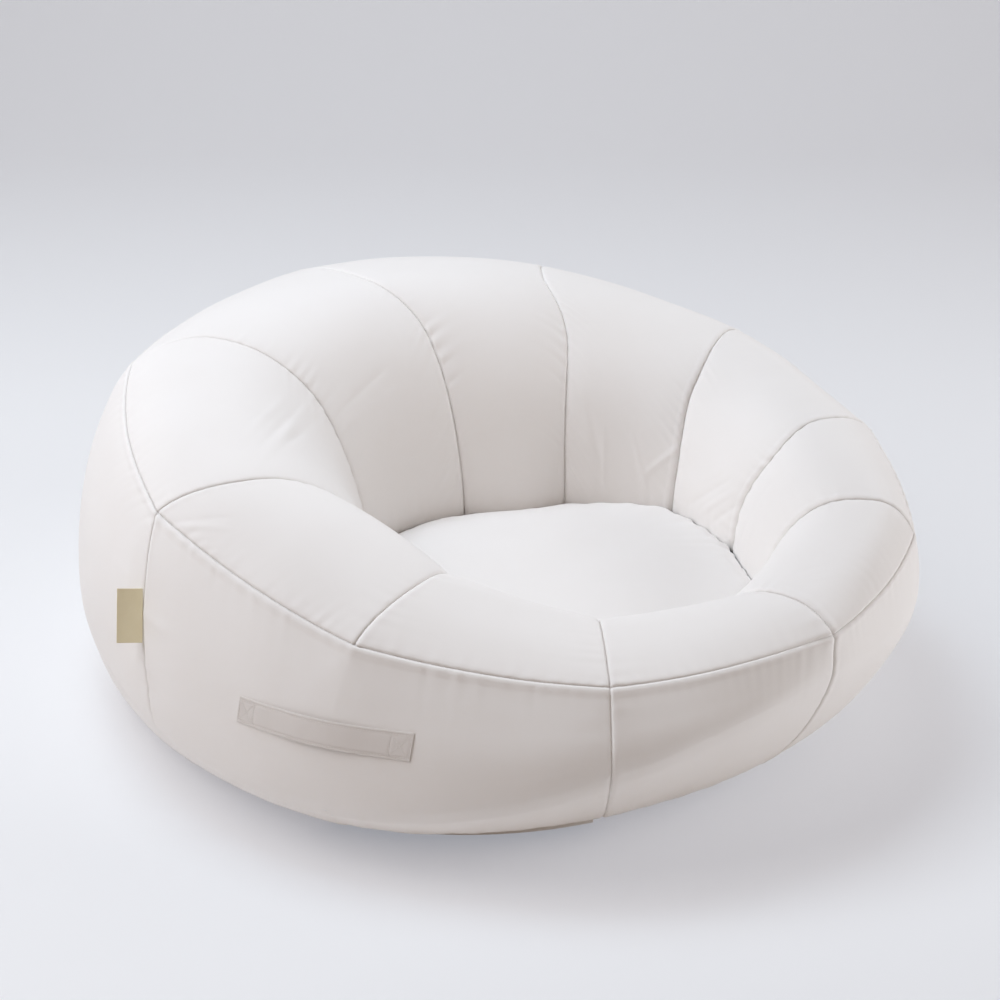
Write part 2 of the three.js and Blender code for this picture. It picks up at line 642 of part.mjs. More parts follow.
// Slider: two plates joined through the slot, with a bridge for the pull. X runs along the zip, Z out of it.
const sliderBearing = zipSpan[0] + (SLIDER_LENGTH / 2 + SLIDER_STOP) / zip.radius;
const sliderFrame = new THREE.Matrix4()
  .makeBasis(
    new THREE.Vector3(-Math.sin(sliderBearing), Math.cos(sliderBearing), 0),
    new THREE.Vector3(0, 0, 1),
    new THREE.Vector3(Math.cos(sliderBearing), Math.sin(sliderBearing), 0),
  )
  .setPosition(zipPoint(sliderBearing, BASE_SEAM_HEIGHT, 0));
function box(length, width, low, high) {
  return new THREE.BoxGeometry(length, width, high - low).translate(0, 0, (low + high) / 2);
}
const plateLow = TAPE_THICKNESS + SEAM_GAP;
const plateTop = plateLow + SLIDER_PLATE;
const backTop = -COIL_THICKNESS - SEAM_GAP;
const bridgeTop = plateTop + BRIDGE_HEIGHT;
const halfPlate = SLIDER_PLATE / 2;
const sliderSolid = [
  box(SLIDER_LENGTH, SLIDER_WIDTH, plateLow, plateTop),
  box(SLIDER_LENGTH, SLIDER_WIDTH, backTop - SLIDER_PLATE, backTop),
  box(SLIDER_LENGTH - 2 * SLIDER_PLATE, SLIDER_NECK, backTop - halfPlate, plateTop - halfPlate),
  box(BRIDGE_LENGTH, BRIDGE_WIDTH, plateTop - halfPlate, bridgeTop),
]
  .map((geometry) => solidOf(geometry))
  .reduce((sum, solid) => sum.add(solid))
  .subtract(solidOf(box(BRIDGE_LENGTH - 2 * BRIDGE_BAR, SLIDER_WIDTH, plateTop, bridgeTop - BRIDGE_BAR)));
const sliderGroup = new THREE.Group();
sliderGroup.applyMatrix4(sliderFrame);
lounger.add(sliderGroup);
place("zip_slider", geometryOf(sliderSolid), colours.valve, sliderGroup);

// Pull: a tab whose bar turns under the bridge, with a hole that clears the bridge
const pullAxis = (plateTop + bridgeTop - BRIDGE_BAR) / 2;
const pullOutline = new THREE.Shape()
  .moveTo(0, -PULL_WIDTH / 2)
  .lineTo(PULL_LENGTH - PULL_WIDTH / 2, -PULL_WIDTH / 2)
  .absarc(PULL_LENGTH - PULL_WIDTH / 2, 0, PULL_WIDTH / 2, -QUARTER, QUARTER, false)
  .lineTo(0, PULL_WIDTH / 2)
  .closePath();
const pullHole = new THREE.Path()
  .moveTo(PULL_BAR / 4, PULL_ARM - PULL_WIDTH / 2)
  .lineTo(PULL_BAR / 4, PULL_WIDTH / 2 - PULL_ARM)
  .lineTo(PULL_BAR / 2 + PULL_HOLE, PULL_WIDTH / 2 - PULL_ARM)
  .lineTo(PULL_BAR / 2 + PULL_HOLE, PULL_ARM - PULL_WIDTH / 2)
  .closePath();
pullOutline.holes.push(pullHole);
const pullDepth = { depth: PULL_THICKNESS, bevelEnabled: false, curveSegments: ROUND_STEPS / 4 };
const pullLow = pullAxis - PULL_THICKNESS / 2;
const pullTab = new THREE.ExtrudeGeometry(pullOutline, pullDepth).translate(0, 0, pullLow);
const pullBar = new THREE.CylinderGeometry(PULL_BAR / 2, PULL_BAR / 2, PULL_WIDTH, ROUND_STEPS / 2)
  .translate(0, 0, pullAxis);
place("zip_pull", geometryOf(solidOf(pullTab).add(solidOf(pullBar))), colours.valve, sliderGroup);

// Ring bladder, under the cover, with its valve behind the left side panel above the zip
const RING_INSET = COVER_THICKNESS + SEAM_GAP;
function ringSolid(inset) {
  const grid = Array.from({ length: ROUND_COLUMNS }, (_, i) =>
    rowTurns(i * COLUMN_ANGLE).map((turn) => ringPoint(i * COLUMN_ANGLE, turn, inset)),
  );
  return gridMesh(grid, { wrapRows: true, wrapColumns: true });
}
const valveAngle = goreSeam(GORE_COUNT - 1);
const valveTurn = outsideTurn(valveAngle, VALVE_HEIGHT_SHARE * sectionAt(valveAngle).sideHeight);
const valveNormal = ringNormal(valveAngle, valveTurn);
const valveTop = ringPoint(valveAngle, valveTurn, RING_INSET);
const valveSeat = valveTop.addScaledVector(valveNormal, -VALVE_POCKET_DEPTH);
const ringAir = ringSolid(RING_INSET + BLADDER_WALL);
bladder("ring", ringSolid(RING_INSET), ringAir, frameAt(valveSeat, valveNormal), zipGroove);

// Seat bladder: a round cushion inside the nest, on the base panel, with its valve underneath
const SEAT_BLADDER_GAP = 2 * SEAM_GAP;
function seatSolid(inset) {
  const bottom = RING_INSET + inset;
  const sideReach = (angle) =>
    Math.min(reachOf(ringPoint(angle, HALF)), seatReach(angle)) - SEAT_BLADDER_GAP - inset;
  const loop = (reachAt, height) =>
    Array.from({ length: ROUND_COLUMNS }, (_, i) => {
      const angle = i * COLUMN_ANGLE;
      const reach = reachAt(angle);
      return new THREE.Vector3(Math.sin(angle) * reach, -Math.cos(angle) * reach, height).add(seatCentre);
    });
  const corner = [1, 2 / 3, 1 / 3, 0].map((share) => {
    const bend = share * QUARTER;
    return loop(
      (angle) => sideReach(angle) - BLADDER_CORNER * (1 - Math.cos(bend)),
      bottom + BLADDER_CORNER * (1 - Math.sin(bend)),
    );
  });
  const underCover = COVER_THICKNESS + SEAM_GAP + inset;
  const top = seatRows(seatReach, SEAT_SHARES, underCover).reverse();
  const shoulder = loop((angle) => sideReach(angle), SEAT_RIM_HEIGHT - underCover);
  return gridMesh([loop(() => 0, bottom), ...corner, shoulder, ...top.slice(1)], { wrapColumns: true });
}
const seatValve = new THREE.Vector3(0, -SEAT_VALVE_REACH_SHARE * WALL_REACH, RING_INSET + VALVE_POCKET_DEPTH)
  .add(seatCentre);
bladder("seat", seatSolid(0), seatSolid(BLADDER_WALL), frameAt(seatValve, new THREE.Vector3(0, 0, -1)));

// Point where a line into the ring meets the side band's facets.
const bandMeshes = lounger.children.filter((mesh) => mesh.name.startsWith("side_panel_"));
function onBand(angle, height) {
  const turn = outsideTurn(angle, height);
  const inwards = ringNormal(angle, turn).negate();
  const start = ringPoint(angle, turn).addScaledVector(inwards, -CUT_OVERRUN);
  return new THREE.Raycaster(start, inwards, 0, 2 * CUT_OVERRUN).intersectObjects(bandMeshes)[0].point;
}

// Carry handles: flat straps round the side band, sewn down at both ends and a little free between
function strap(middle) {
  const halfAngle = HANDLE_LENGTH / 2 / reachOf(ringPoint(middle, outsideTurn(middle, HANDLE_HEIGHT)));
  const face = (standing) =>
    [-1 / 2, -1 / 4, 0, 1 / 4, 1 / 2].map((across) =>
      Array.from({ length: STRAP_STEPS + 1 }, (_, k) => {
        const along = (2 * k) / STRAP_STEPS - 1;
        const angle = middle + along * halfAngle;
        const height = HANDLE_HEIGHT + across * HANDLE_WIDTH;
        const bow = HANDLE_BOW * Math.cos(along * QUARTER) ** 2;
        const out = ringNormal(angle, outsideTurn(angle, height));
        return onBand(angle, height).addScaledVector(out, HANDLE_STANDOFF + bow + standing);
      }),
    );
  return sheet(face(HANDLE_THICKNESS), face(0));
}
for (const [name, middle] of Object.entries(HANDLE_ANGLES)) {
  place(`carry_handle_${name}`, strap(middle), colours.webbing);
}

// Label tab: stands out of the left side seam, from its sewn edge backwards
function labelTab() {
  const edge = [LABEL_LOW, LABEL_HIGH].map((height) => {
    const turn = outsideTurn(SEAM_LEAN_AT, height);
    return { point: ringPoint(SEAM_LEAN_AT, turn), out: ringNormal(SEAM_LEAN_AT, turn) };
  });
  const up = edge[1].point.clone().sub(edge[0].point);
  const out = edge[0].out.clone().add(edge[1].out);
  out.addScaledVector(up, -out.dot(up) / up.lengthSq()).normalize();
  const back = out.clone().cross(up).normalize();
  const away = out.multiplyScalar(Math.sin(LABEL_ANGLE)).addScaledVector(back, Math.cos(LABEL_ANGLE));
  const middle = edge[0].point.clone().add(edge[1].point).multiplyScalar(1 / 2);
  const frame = new THREE.Matrix4()
    .makeBasis(away, up.clone().normalize(), away.clone().cross(up).normalize())
    .setPosition(middle.addScaledVector(away, SEAM_GAP));
  return new THREE.BoxGeometry(LABEL_WIDTH, up.length(), LABEL_THICKNESS)
    .translate(LABEL_WIDTH / 2, 0, 0)
    .applyMatrix4(frame);
}
place("label_tab", labelTab(), colours.label);

export default lounger;
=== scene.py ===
# %% [markdown]
# # Dressing an inflatable nest lounger
# The real object is an air-filled ring with a high back and a low front. A sewn cover of pale woven
# cloth goes round it, and a padded seat fills the nest. The construction model already fixes every
# size, so this lesson only adds cloth, seams, stitches, plastic and light around it.

import bpy
import numpy as np
from mathutils import Matrix, Vector


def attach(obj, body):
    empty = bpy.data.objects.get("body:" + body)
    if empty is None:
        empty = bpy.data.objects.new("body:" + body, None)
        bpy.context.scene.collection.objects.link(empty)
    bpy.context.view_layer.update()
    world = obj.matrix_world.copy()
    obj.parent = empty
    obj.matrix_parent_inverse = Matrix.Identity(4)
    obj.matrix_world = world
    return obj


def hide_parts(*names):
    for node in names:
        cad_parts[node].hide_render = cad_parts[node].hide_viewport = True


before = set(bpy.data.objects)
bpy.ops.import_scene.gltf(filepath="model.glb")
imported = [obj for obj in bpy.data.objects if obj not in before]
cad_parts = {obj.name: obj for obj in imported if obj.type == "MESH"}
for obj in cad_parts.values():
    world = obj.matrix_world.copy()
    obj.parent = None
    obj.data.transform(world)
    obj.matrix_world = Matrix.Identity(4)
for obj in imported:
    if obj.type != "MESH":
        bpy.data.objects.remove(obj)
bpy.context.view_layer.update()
scene = bpy.context.scene

# %% [markdown]
# ## The ring as a formula
# The cover is one smooth surface with two parameters: the angle round the seat and the turn round the
# ring's cross-section. Sculpting it by hand would drift away from the construction model, so the same
# formula is used here. Eight shares per size, joined by a short Fourier series, make the ring rise
# from front to back.

# %% Sizes of the ring, in metres
RING = {
    "side": (0.870, (0.59, 0.54, 0.575, 0.735, 1, 0.915, 0.75, 0.66)),
    "crest": (0.550, (0.695, 0.745, 0.68, 0.92, 0.865, 1.0, 0.875, 0.667)),
    "wall": (0.258, (0.975, 1.01, 0.92, 1.02, 0.92, 1.17, 1.055, 0.99)),
    "side_height": (0.200, (1, 0.99, 0.86, 0.76, 0.765, 0.815, 0.655, 0.48)),
    "crest_height": (0.498, (0.546, 0.663, 0.747, 0.821, 1, 0.952, 0.809, 0.606)),
}
SHOULDER_DEGREES = (45, 37, 53, 48, 45, 59, 55, 53)
SHIFT_TURNS = (50, 90, 125, 160)
CREST_SHIFTS = (0, -1.7, -2.6, 4, 2.5, 1.7, -4.2, 3.1, 1.5, 0)
WALL_SHIFTS = (0, -0.7, -5, 2.4, -1.5, -0.5, -3.5, 3.5, 0.5, 0)
LOWER_EXPONENT = 1.43
UPPER_EXPONENT = 0.91
BASE_RADIUS = 0.530
NEST = np.array([0.1415, -0.4057, 0.0]) * BASE_RADIUS
FOOT_SHARE = 0.35
WALL_FOOT_HEIGHT = 0.141
SEAT_RIM_HEIGHT = 0.1862
GORE_COUNT = 10
GORE_ANGLE = 2 * np.pi / GORE_COUNT
GORE_FLATTENING = 0.45
COVER_THICKNESS = 0.0012
SEAM_GAP = 0.0003
QUARTER = np.pi / 2
MM_PER_M = 1000


# %% The ring's surface
def around(shares, angle):
    """Value at an angle: the shares' finite Fourier series, which passes through every one of them."""
    count = len(shares)
    away = np.asarray(angle)[..., None] - 2 * np.pi * np.arange(count) / count
    away = np.where(np.abs(np.sin(away / 2)) < 1e-7, 1e-5, away)
    return (np.asarray(shares) * np.sin(count * away / 2) / (count * np.tan(away / 2))).sum(-1)


def size_at(name, angle):
    largest, shares = RING[name]
    return largest * around(shares, angle)


def round_the_nest(angle, reach, height):
    """Point at an angle round the nest's middle, a reach from it and a height above the floor."""
    angle, reach, height = np.broadcast_arrays(angle, reach, height)
    return NEST + np.stack([np.sin(angle) * reach, -np.cos(angle) * reach, height], -1)


def from_nest(points):
    """Level distance of points from the nest's middle."""
    return np.linalg.norm((points - NEST)[..., :2], axis=-1)


def full_circle(count):
    """Even angles once round, without the last one that meets the first."""
    return np.linspace(0, 2 * np.pi, count + 1)[:-1]


def base_reach(angle):
    """Distance from the nest's middle to the base's edge: where a ray from inside meets a circle."""
    towards = NEST[1] * np.cos(angle) - NEST[0] * np.sin(angle)
    return towards + np.sqrt(BASE_RADIUS**2 - NEST[0] ** 2 - NEST[1] ** 2 + towards**2)


def shoulder(angle):
    return np.radians(around(SHOULDER_DEGREES, angle))


def smooth_step(value, low, high):
    """Share of the way from low to high, eased at both ends by 3s² - 2s³."""
    share = np.clip((value - low) / (high - low), 0, 1)
    return share * share * (3 - 2 * share)


def bell(distance, width):
    return np.exp(-((distance / width) ** 2))


def unit(vectors):
    return vectors / np.linalg.norm(vectors, axis=-1, keepdims=True)


def seam_shift(column, turn):
    """Radians that the gore seams stray: nothing at the shoulder and the seat, most on crest and wall."""
    start, crest, wall, end = np.radians(SHIFT_TURNS)
    on_wall = smooth_step(turn, crest, wall)
    there = smooth_step(turn, start, crest) - smooth_step(turn, wall, end)
    at_crest, at_wall = (around(shifts, column - GORE_ANGLE / 2) for shifts in (CREST_SHIFTS, WALL_SHIFTS))
    return np.radians(there * (at_crest + (at_wall - at_crest) * on_wall))


def leaning(column, turn):
    """Angle of a column at a turn: the left side seam leans forward on its way down from the shoulder."""
    lean, at, span = np.radians((8.5, -90, 30))
    away = np.abs(np.arctan2(np.sin(column - at), np.cos(column - at)))
    near = np.cos(np.minimum(away / span, 1) * QUARTER) ** 2
    return column + lean * near * np.clip(1 - turn / shoulder(column), 0, 1) + seam_shift(column, turn)


def ring_point(column, turn, inset=0.0):
    """Point of the ring: quarter superellipses from the floor (-90 degrees) over side, crest and wall."""
    column, turn = np.broadcast_arrays(column, turn)
    angle = leaning(column, turn)
    across, along = np.abs(np.cos(turn)), np.abs(np.sin(turn))
    side, crest, wall = (size_at(name, angle) for name in ("side", "crest", "wall"))
    side, wall = side - inset, wall + inset
    side_z, crest_z = size_at("side_height", angle), size_at("crest_height", angle) - inset
    base = base_reach(angle)
    low, high = LOWER_EXPONENT, UPPER_EXPONENT
    parts = [turn <= 0, turn <= QUARTER, turn <= 2 * QUARTER]
    reaches = [
        base + (side - base) * across**low,
        crest + (side - crest) * across**high,
        crest - (crest - wall) * across**high,
    ]
    heights = [
        inset + (side_z - inset) * (1 - along**low),
        side_z + (crest_z - side_z) * along**high,
        WALL_FOOT_HEIGHT + (crest_z - WALL_FOOT_HEIGHT) * along**high,
    ]
    reach = np.select(parts, reaches, wall)
    height = np.select(parts, heights, WALL_FOOT_HEIGHT)
    from_middle = column - np.round(column / GORE_ANGLE) * GORE_ANGLE
    chord = np.cos(GORE_ANGLE / 2) / np.cos(from_middle)
    reach = reach * (1 - GORE_FLATTENING * (1 - chord) * np.clip(turn / shoulder(column), 0, 1))
    return round_the_nest(angle, reach, height)


def side_turn(column, height):
    """Turn at which the outside has a height: the superellipse undone, in a few passes for the lean."""
    turn = np.zeros(np.broadcast(column, height).shape)
    for _ in range(4):
        angle = leaning(column, turn)
        side_z, crest_z = size_at("side_height", angle), size_at("crest_height", angle)
        below = np.clip(1 - height / side_z, 0, 1) ** (1 / LOWER_EXPONENT)
        above = np.clip((height - side_z) / (crest_z - side_z), 0, 1) ** (1 / UPPER_EXPONENT)
        turn = np.where(height < side_z, -np.arcsin(below), np.arcsin(above))
    return turn


def wall_turn(column, height):
    """Turn on the nest's wall at which it has a height."""
    crest_z = size_at("crest_height", column)
    rise = (height - WALL_FOOT_HEIGHT) / (crest_z - WALL_FOOT_HEIGHT)
    return np.pi - np.arcsin(np.clip(rise, 0, 1) ** (1 / UPPER_EXPONENT))


def ring_normal(column, turn):
    """Outward unit normal of the ring: the cross product of its changes with the angle and with the turn."""
    step = 1e-4
    along = ring_point(column + step, turn) - ring_point(column - step, turn)
    up = ring_point(column, turn + step) - ring_point(column, turn - step)
    return unit(np.cross(along, up))


print("crest at the back", ring_point(np.pi, QUARTER).round(3))

# %% [markdown]
# ## Grids become meshes
# A panel of cloth is a grid of points. Its lengths along both directions are added up into a UV map in
# metres, so that a weave has its true size everywhere. Its normals come from the cross product of the
# two directions.


# %% Grid helpers
def grid_lengths(points):
    """Distance along each row from its middle, and along each column from its start, in metres."""
    across = np.zeros(points.shape[:2])
    up = np.zeros(points.shape[:2])
    across[:, 1:] = np.cumsum(np.linalg.norm(np.diff(points, axis=1), axis=-1), axis=1)
    up[1:] = np.cumsum(np.linalg.norm(np.diff(points, axis=0), axis=-1), axis=0)
    return across - across[:, -1:] / 2, up


def grid_quads(rows, columns, wrap=False):
    start = np.arange(rows - 1)[:, None] * columns
    column = np.arange(columns if wrap else columns - 1)
    beside = (column + 1) % columns
    quads = [start + column, start + beside, start + columns + beside, start + columns + column]
    return np.stack(quads, -1).reshape(-1, 4)


def new_object(name, data):
    piece = bpy.data.objects.new(name, data)
    scene.collection.objects.link(piece)
    return piece


def mesh_object(name, points, faces, material, uv=None):
    """A smooth object at the origin from points and faces of equal size, with a UV for each point."""
    points = np.asarray(points, dtype=np.float32).reshape(-1, 3)
    faces = np.asarray(faces, dtype=np.int32)
    mesh = bpy.data.meshes.new(name)
    mesh.vertices.add(len(points))
    mesh.vertices.foreach_set("co", points.ravel())
    mesh.loops.add(faces.size)
    mesh.loops.foreach_set("vertex_index", faces.ravel())
    mesh.polygons.add(len(faces))
    mesh.polygons.foreach_set("loop_start", np.arange(0, faces.size, faces.shape[1], dtype=np.int32))
    mesh.update(calc_edges=True)
    if uv is not None:
        layer = mesh.uv_layers.new(name="Cloth")
        layer.data.foreach_set("uv", np.asarray(uv, dtype=np.float32).reshape(-1, 2)[faces.ravel()].ravel())
    mesh.shade_smooth()
    mesh.materials.append(material)
    return new_object(name, mesh)


def closed_grid(name, points, material):
    """A grid that closes in both directions."""
    rows, columns = points.shape[:2]
    faces = grid_quads(rows, columns, wrap=True)
    column = np.arange(columns)
    beside = (column + 1) % columns
    last = (rows - 1) * columns
    joined = np.stack([last + column, last + beside, beside, column], -1)
    return mesh_object(name, points, np.concatenate([faces, joined]), material)


def thicken(piece, thickness, offset=-1.0):
    """Gives cloth its thickness, inwards from its face."""
    shell = piece.modifiers.new("Thickness", "SOLIDIFY")
    shell.thickness = thickness
    shell.offset = offset


def weld(piece):
    """Joins points that lie on one another, which closes poles and folded ends."""
    joined = piece.modifiers.new("Weld", "WELD")
    joined.merge_threshold = 0.00001
    return piece


def dress(piece, body="lounger", stands_for=()):
    """Lets a piece ride on a body and stand for CAD nodes."""
    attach(piece, body)
    if stands_for:
        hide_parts(*stands_for)


# %% [markdown]
# ## Finishes
# Cloth is never one flat colour. The cover's weave is two crossed waves a thread apart, read from the
# UV map in metres, and a slow noise makes the soft mottling that dyed cloth has. Plastic gets a slow
# shift of colour and a fine grain as bump.

# %% Material helpers
CLOTH_SHEEN = 0.15


def new_material(name, roughness, sheen=0.0):
    material = bpy.data.materials.new(name)
    material.use_nodes = True
    shader = material.node_tree.nodes["Principled BSDF"]
    shader.inputs["Roughness"].default_value = roughness
    shader.inputs["Sheen Weight"].default_value = sheen
    shader.inputs["Sheen Roughness"].default_value = 0.5
    return material, material.node_tree, shader


def add(tree, kind, **inputs):
    node = tree.nodes.new(kind)
    for name, value in inputs.items():
        node.inputs[name].default_value = value
    return node


def mix_colours(tree, share, low, high):
    """Colour between two others by a share from 0 to 1."""
    mix = tree.nodes.new("ShaderNodeMix")
    mix.data_type = "RGBA"
    mix.inputs["A"].default_value = (*low, 1)
    mix.inputs["B"].default_value = (*high, 1)
    tree.links.new(share, mix.inputs["Factor"])
    return mix.outputs["Result"]


def calculate(tree, operation, first, second):
    """Sum, product or maximum of two values."""
    node = tree.nodes.new("ShaderNodeMath")
    node.operation = operation
    tree.links.new(first, node.inputs[0])
    tree.links.new(second, node.inputs[1])
    return node.outputs[0]


def threads(tree, source, pitch, direction):
    """Waves with one crest for each thread."""
    wave = add(tree, "ShaderNodeTexWave", Scale=2 * np.pi / (20 * pitch), Distortion=0.0)
    wave.bands_direction = direction
    tree.links.new(source, wave.inputs["Vector"])
    return wave.outputs["Fac"]


def speckle(tree, place, **inputs):
    """Noise fixed to the object."""
    noise = add(tree, "ShaderNodeTexNoise", **inputs)
    tree.links.new(place.outputs["Object"], noise.inputs["Vector"])
    return noise.outputs["Fac"]


def colour_and_bump(tree, shader, colour, height, strength, depth):
    bump = add(tree, "ShaderNodeBump", Strength=strength, Distance=depth)
    tree.links.new(height, bump.inputs["Height"])
    tree.links.new(bump.outputs["Normal"], shader.inputs["Normal"])
    tree.links.new(colour, shader.inputs["Base Color"])


def cloth_material(name, low, high, pitch, weave_depth, mottle=9.0):
    """Woven cloth: crossed threads as bump, slow mottling as colour."""
    material, tree, shader = new_material(name, 0.85, CLOTH_SHEEN)
    place = tree.nodes.new("ShaderNodeTexCoord")
    warp, weft = (threads(tree, place.outputs["UV"], pitch, direction) for direction in "XY")
    mottling = speckle(tree, place, Scale=mottle, Detail=6.0, Roughness=0.6)
    grain = speckle(tree, place, Scale=220.0, Detail=3.0)
    height = calculate(tree, "ADD", calculate(tree, "MULTIPLY", warp, weft), grain)
    colour_and_bump(tree, shader, mix_colours(tree, mottling, low, high), height, 0.35, weave_depth)
    return material


def plastic_material(name, low, high, roughness, grain_scale=300.0, grain_depth=0.00005):
    """Moulded plastic: a slow shift of colour and a fine grain as bump."""
    material, tree, shader = new_material(name, roughness)
    place = tree.nodes.new("ShaderNodeTexCoord")
    shift = speckle(tree, place, Scale=25.0, Detail=4.0)
    grain = speckle(tree, place, Scale=grain_scale, Detail=2.0)
    colour_and_bump(tree, shader, mix_colours(tree, shift, low, high), grain, 0.4, grain_depth)
    return material


# %% The object's finishes
CREAM = (0.90, 0.875, 0.855)
CREAM_SHADE = (0.87, 0.84, 0.815)
cover_cloth = cloth_material("cover_cloth", CREAM_SHADE, CREAM, 0.0009, 0.00012)
seat_cloth = cloth_material("seat_cloth", CREAM_SHADE, CREAM, 0.0009, 0.00012)
base_cloth = cloth_material("base_cloth", (0.80, 0.76, 0.73), (0.86, 0.82, 0.79), 0.0012, 0.0002)
handle_cloth = cloth_material("handle_cloth", (0.74, 0.70, 0.67), (0.79, 0.75, 0.72), 0.0011, 0.0002, 30.0)
label_cloth = cloth_material("label_cloth", (0.86, 0.77, 0.52), (0.92, 0.84, 0.60), 0.0007, 0.0002, 60.0)
zip_cloth = cloth_material("zip_cloth", (0.84, 0.81, 0.78), (0.89, 0.86, 0.83), 0.0006, 0.0002, 60.0)
thread = cloth_material("thread", (0.78, 0.75, 0.72), (0.86, 0.83, 0.80), 0.0004, 0.00005, 200.0)
coil_plastic = plastic_material("coil_plastic", (0.70, 0.67, 0.64), (0.76, 0.73, 0.70), 0.45)
zip_moulding = plastic_material("zip_moulding", (0.70, 0.67, 0.64), (0.78, 0.75, 0.72), 0.4)
valve_moulding = plastic_material("valve_moulding", (0.80, 0.80, 0.79), (0.86, 0.86, 0.85), 0.35)
flap_rubber = plastic_material("flap_rubber", (0.36, 0.39, 0.40), (0.42, 0.45, 0.46), 0.6)
bladder_sheet = plastic_material("bladder_sheet", (0.55, 0.61, 0.64), (0.62, 0.68, 0.70), 0.3, 90.0, 0.0001)
print("finishes", len(bpy.data.materials))

# %% [markdown]
# ## Camera, floor and light
# The photograph looks slightly down from the front left. A floor that curves up into a wall gives the
# seamless background of a studio. Three large lamps light the cloth: one on the left, one high up and
# one low on the right. The air gives the shadows a dim warm light, but the camera sees it pale, so
# that no view has a dark background.

# %% Camera at the photograph's place
CAMERA_PLACE = (-0.9214, -2.5854, 1.3539)
CAMERA_BACK = Vector((-0.3214, -0.8664, 0.3822)).normalized()
CAMERA_RIGHT = Vector((0.9376, -0.3478, 0)).normalized()
CAMERA_LENS, SENSOR_WIDTH = 72.08, 36
camera_data = bpy.data.cameras.new("camera")
camera_data.lens = CAMERA_LENS
camera_data.sensor_width = SENSOR_WIDTH
camera_data.sensor_fit = "HORIZONTAL"
camera_data.clip_end = 100
camera = new_object("camera", camera_data)
camera_axes = Matrix((CAMERA_RIGHT, CAMERA_BACK.cross(CAMERA_RIGHT), CAMERA_BACK)).transposed()
camera.matrix_world = Matrix.Translation(CAMERA_PLACE) @ camera_axes.to_4x4()
scene.camera = camera
print("camera at", CAMERA_PLACE, "lens", CAMERA_LENS, "mm")


# %% Floor, wall and lamps
PAPER, PAPER_SEEN = (0.88, 0.885, 0.90), (0.54, 0.53, 0.51)
GLOW, GLOW_SEEN = (0.04, 0.025, 0.01), (0.295, 0.31, 0.35)
AIR, AIR_SEEN = (0.200, 0.148, 0.112), (0.62, 0.64, 0.70)
LAMP_AIM = Vector((0, 0, 0.2))


def studio_paper():
    """White paper. For the camera, part of the light that it sends back is replaced by an even glow."""
    material, tree, shader = new_material("studio_paper", 0.9)
    path = tree.nodes.new("ShaderNodeLightPath")
    seen = calculate(tree, "MAXIMUM", path.outputs["Is Camera Ray"], path.outputs["Is Glossy Ray"])
    tree.links.new(mix_colours(tree, seen, PAPER, PAPER_SEEN), shader.inputs["Base Color"])
    tree.links.new(mix_colours(tree, seen, GLOW, GLOW_SEEN), shader.inputs["Emission Color"])
    shader.inputs["Emission Strength"].default_value = 1.0
    return material


def studio_sweep():
    """Floor and wall in one sheet: a straight run, a quarter circle and another straight run."""
    bend, radius, front, height = 3.2, 1.6, -6.0, 6.0
    turn = np.linspace(0, QUARTER, 24)
    along = np.concatenate([[front], bend + radius * np.sin(turn), [bend + radius]])
    up = np.concatenate([[0], radius * (1 - np.cos(turn)), [height]]) - 0.0005
    across = np.array([-9.0, 9.0])
    points = np.stack(
        [np.broadcast_to(across, (len(along), 2)), np.stack([along, along], 1), np.stack([up, up], 1)], -1
    )
    sweep = mesh_object("studio_sweep", points, grid_quads(len(along), 2), studio_paper())
    sweep.data.transform(Matrix.Rotation(np.radians(-20), 4, "Z"))


def lamp(name, place, size, power, colour):
    data = bpy.data.lights.new(name, "AREA")
    data.shape = "SQUARE"
    data.size = size
    data.energy = power
    data.color = colour
    light = new_object(name, data)
    direction = LAMP_AIM - Vector(place)
    light.matrix_world = Matrix.Translation(place) @ direction.to_track_quat("-Z", "Y").to_matrix().to_4x4()


studio_sweep()
lamp("left_panel", (-2.12, 0, 2.42), 2.0, 42, (0.95, 0.96, 1.0))
lamp("high_key", (-0.80, 1.20, 4.01), 2.2, 92, (0.74, 0.87, 1.0))
lamp("right_fill", (3.4, -1.5, 1.2), 2.0, 64, (0.91, 0.95, 1.0))
world = bpy.data.worlds.new("studio_air")
scene.world = world
world.use_nodes = True
tree = world.node_tree
air = tree.nodes["Background"]
seen = tree.nodes.new("ShaderNodeLightPath").outputs["Is Camera Ray"]
tree.links.new(mix_colours(tree, seen, AIR, AIR_SEEN), air.inputs["Color"])
air.inputs["Strength"].default_value = 1.0
scene.view_settings.view_transform = "Standard"
print("lamps", len(bpy.data.lights))

# %% [markdown]
# ## How sewn cloth moves
# A seam pulls the cloth into a narrow groove, its folded edges lie under one side as a low ridge, and
# the cloth gathers into small puckers along it. Air pushes the cloth out between the seams. Each of
# these is a height along the ring's normal. Neighbouring panels share their seam's points, so they
# meet exactly. Cloth can't follow a hard crease, so the ring's formula is evened out over nine nearby
# points first. The shoulder seam then gets a blunt edge of its own, with a shallow hollow under it at
# the front.


# %% Heights of seams and puckers
def slow_noise(place, length, seed, waves=24):
    """Sum of sine waves of about one length and random directions, mostly between -1 and 1."""
    maker = np.random.default_rng(seed)
    place = np.asarray(place)
    direction = unit(maker.normal(size=(waves, place.shape[-1])))
    number = 2 * np.pi / (length * maker.uniform(0.7, 1.5, waves))
    phase = maker.uniform(0, 2 * np.pi, waves)
    total = sum(np.sin((place @ direction[k]) * number[k] + phase[k]) for k in range(waves))
    return total / np.sqrt(waves * 2)


def seam_height(distance, depth=0.0017, width=0.0024):
    """Groove at a seam: a bell curve in the distance from it."""
    return -depth * bell(distance, width)


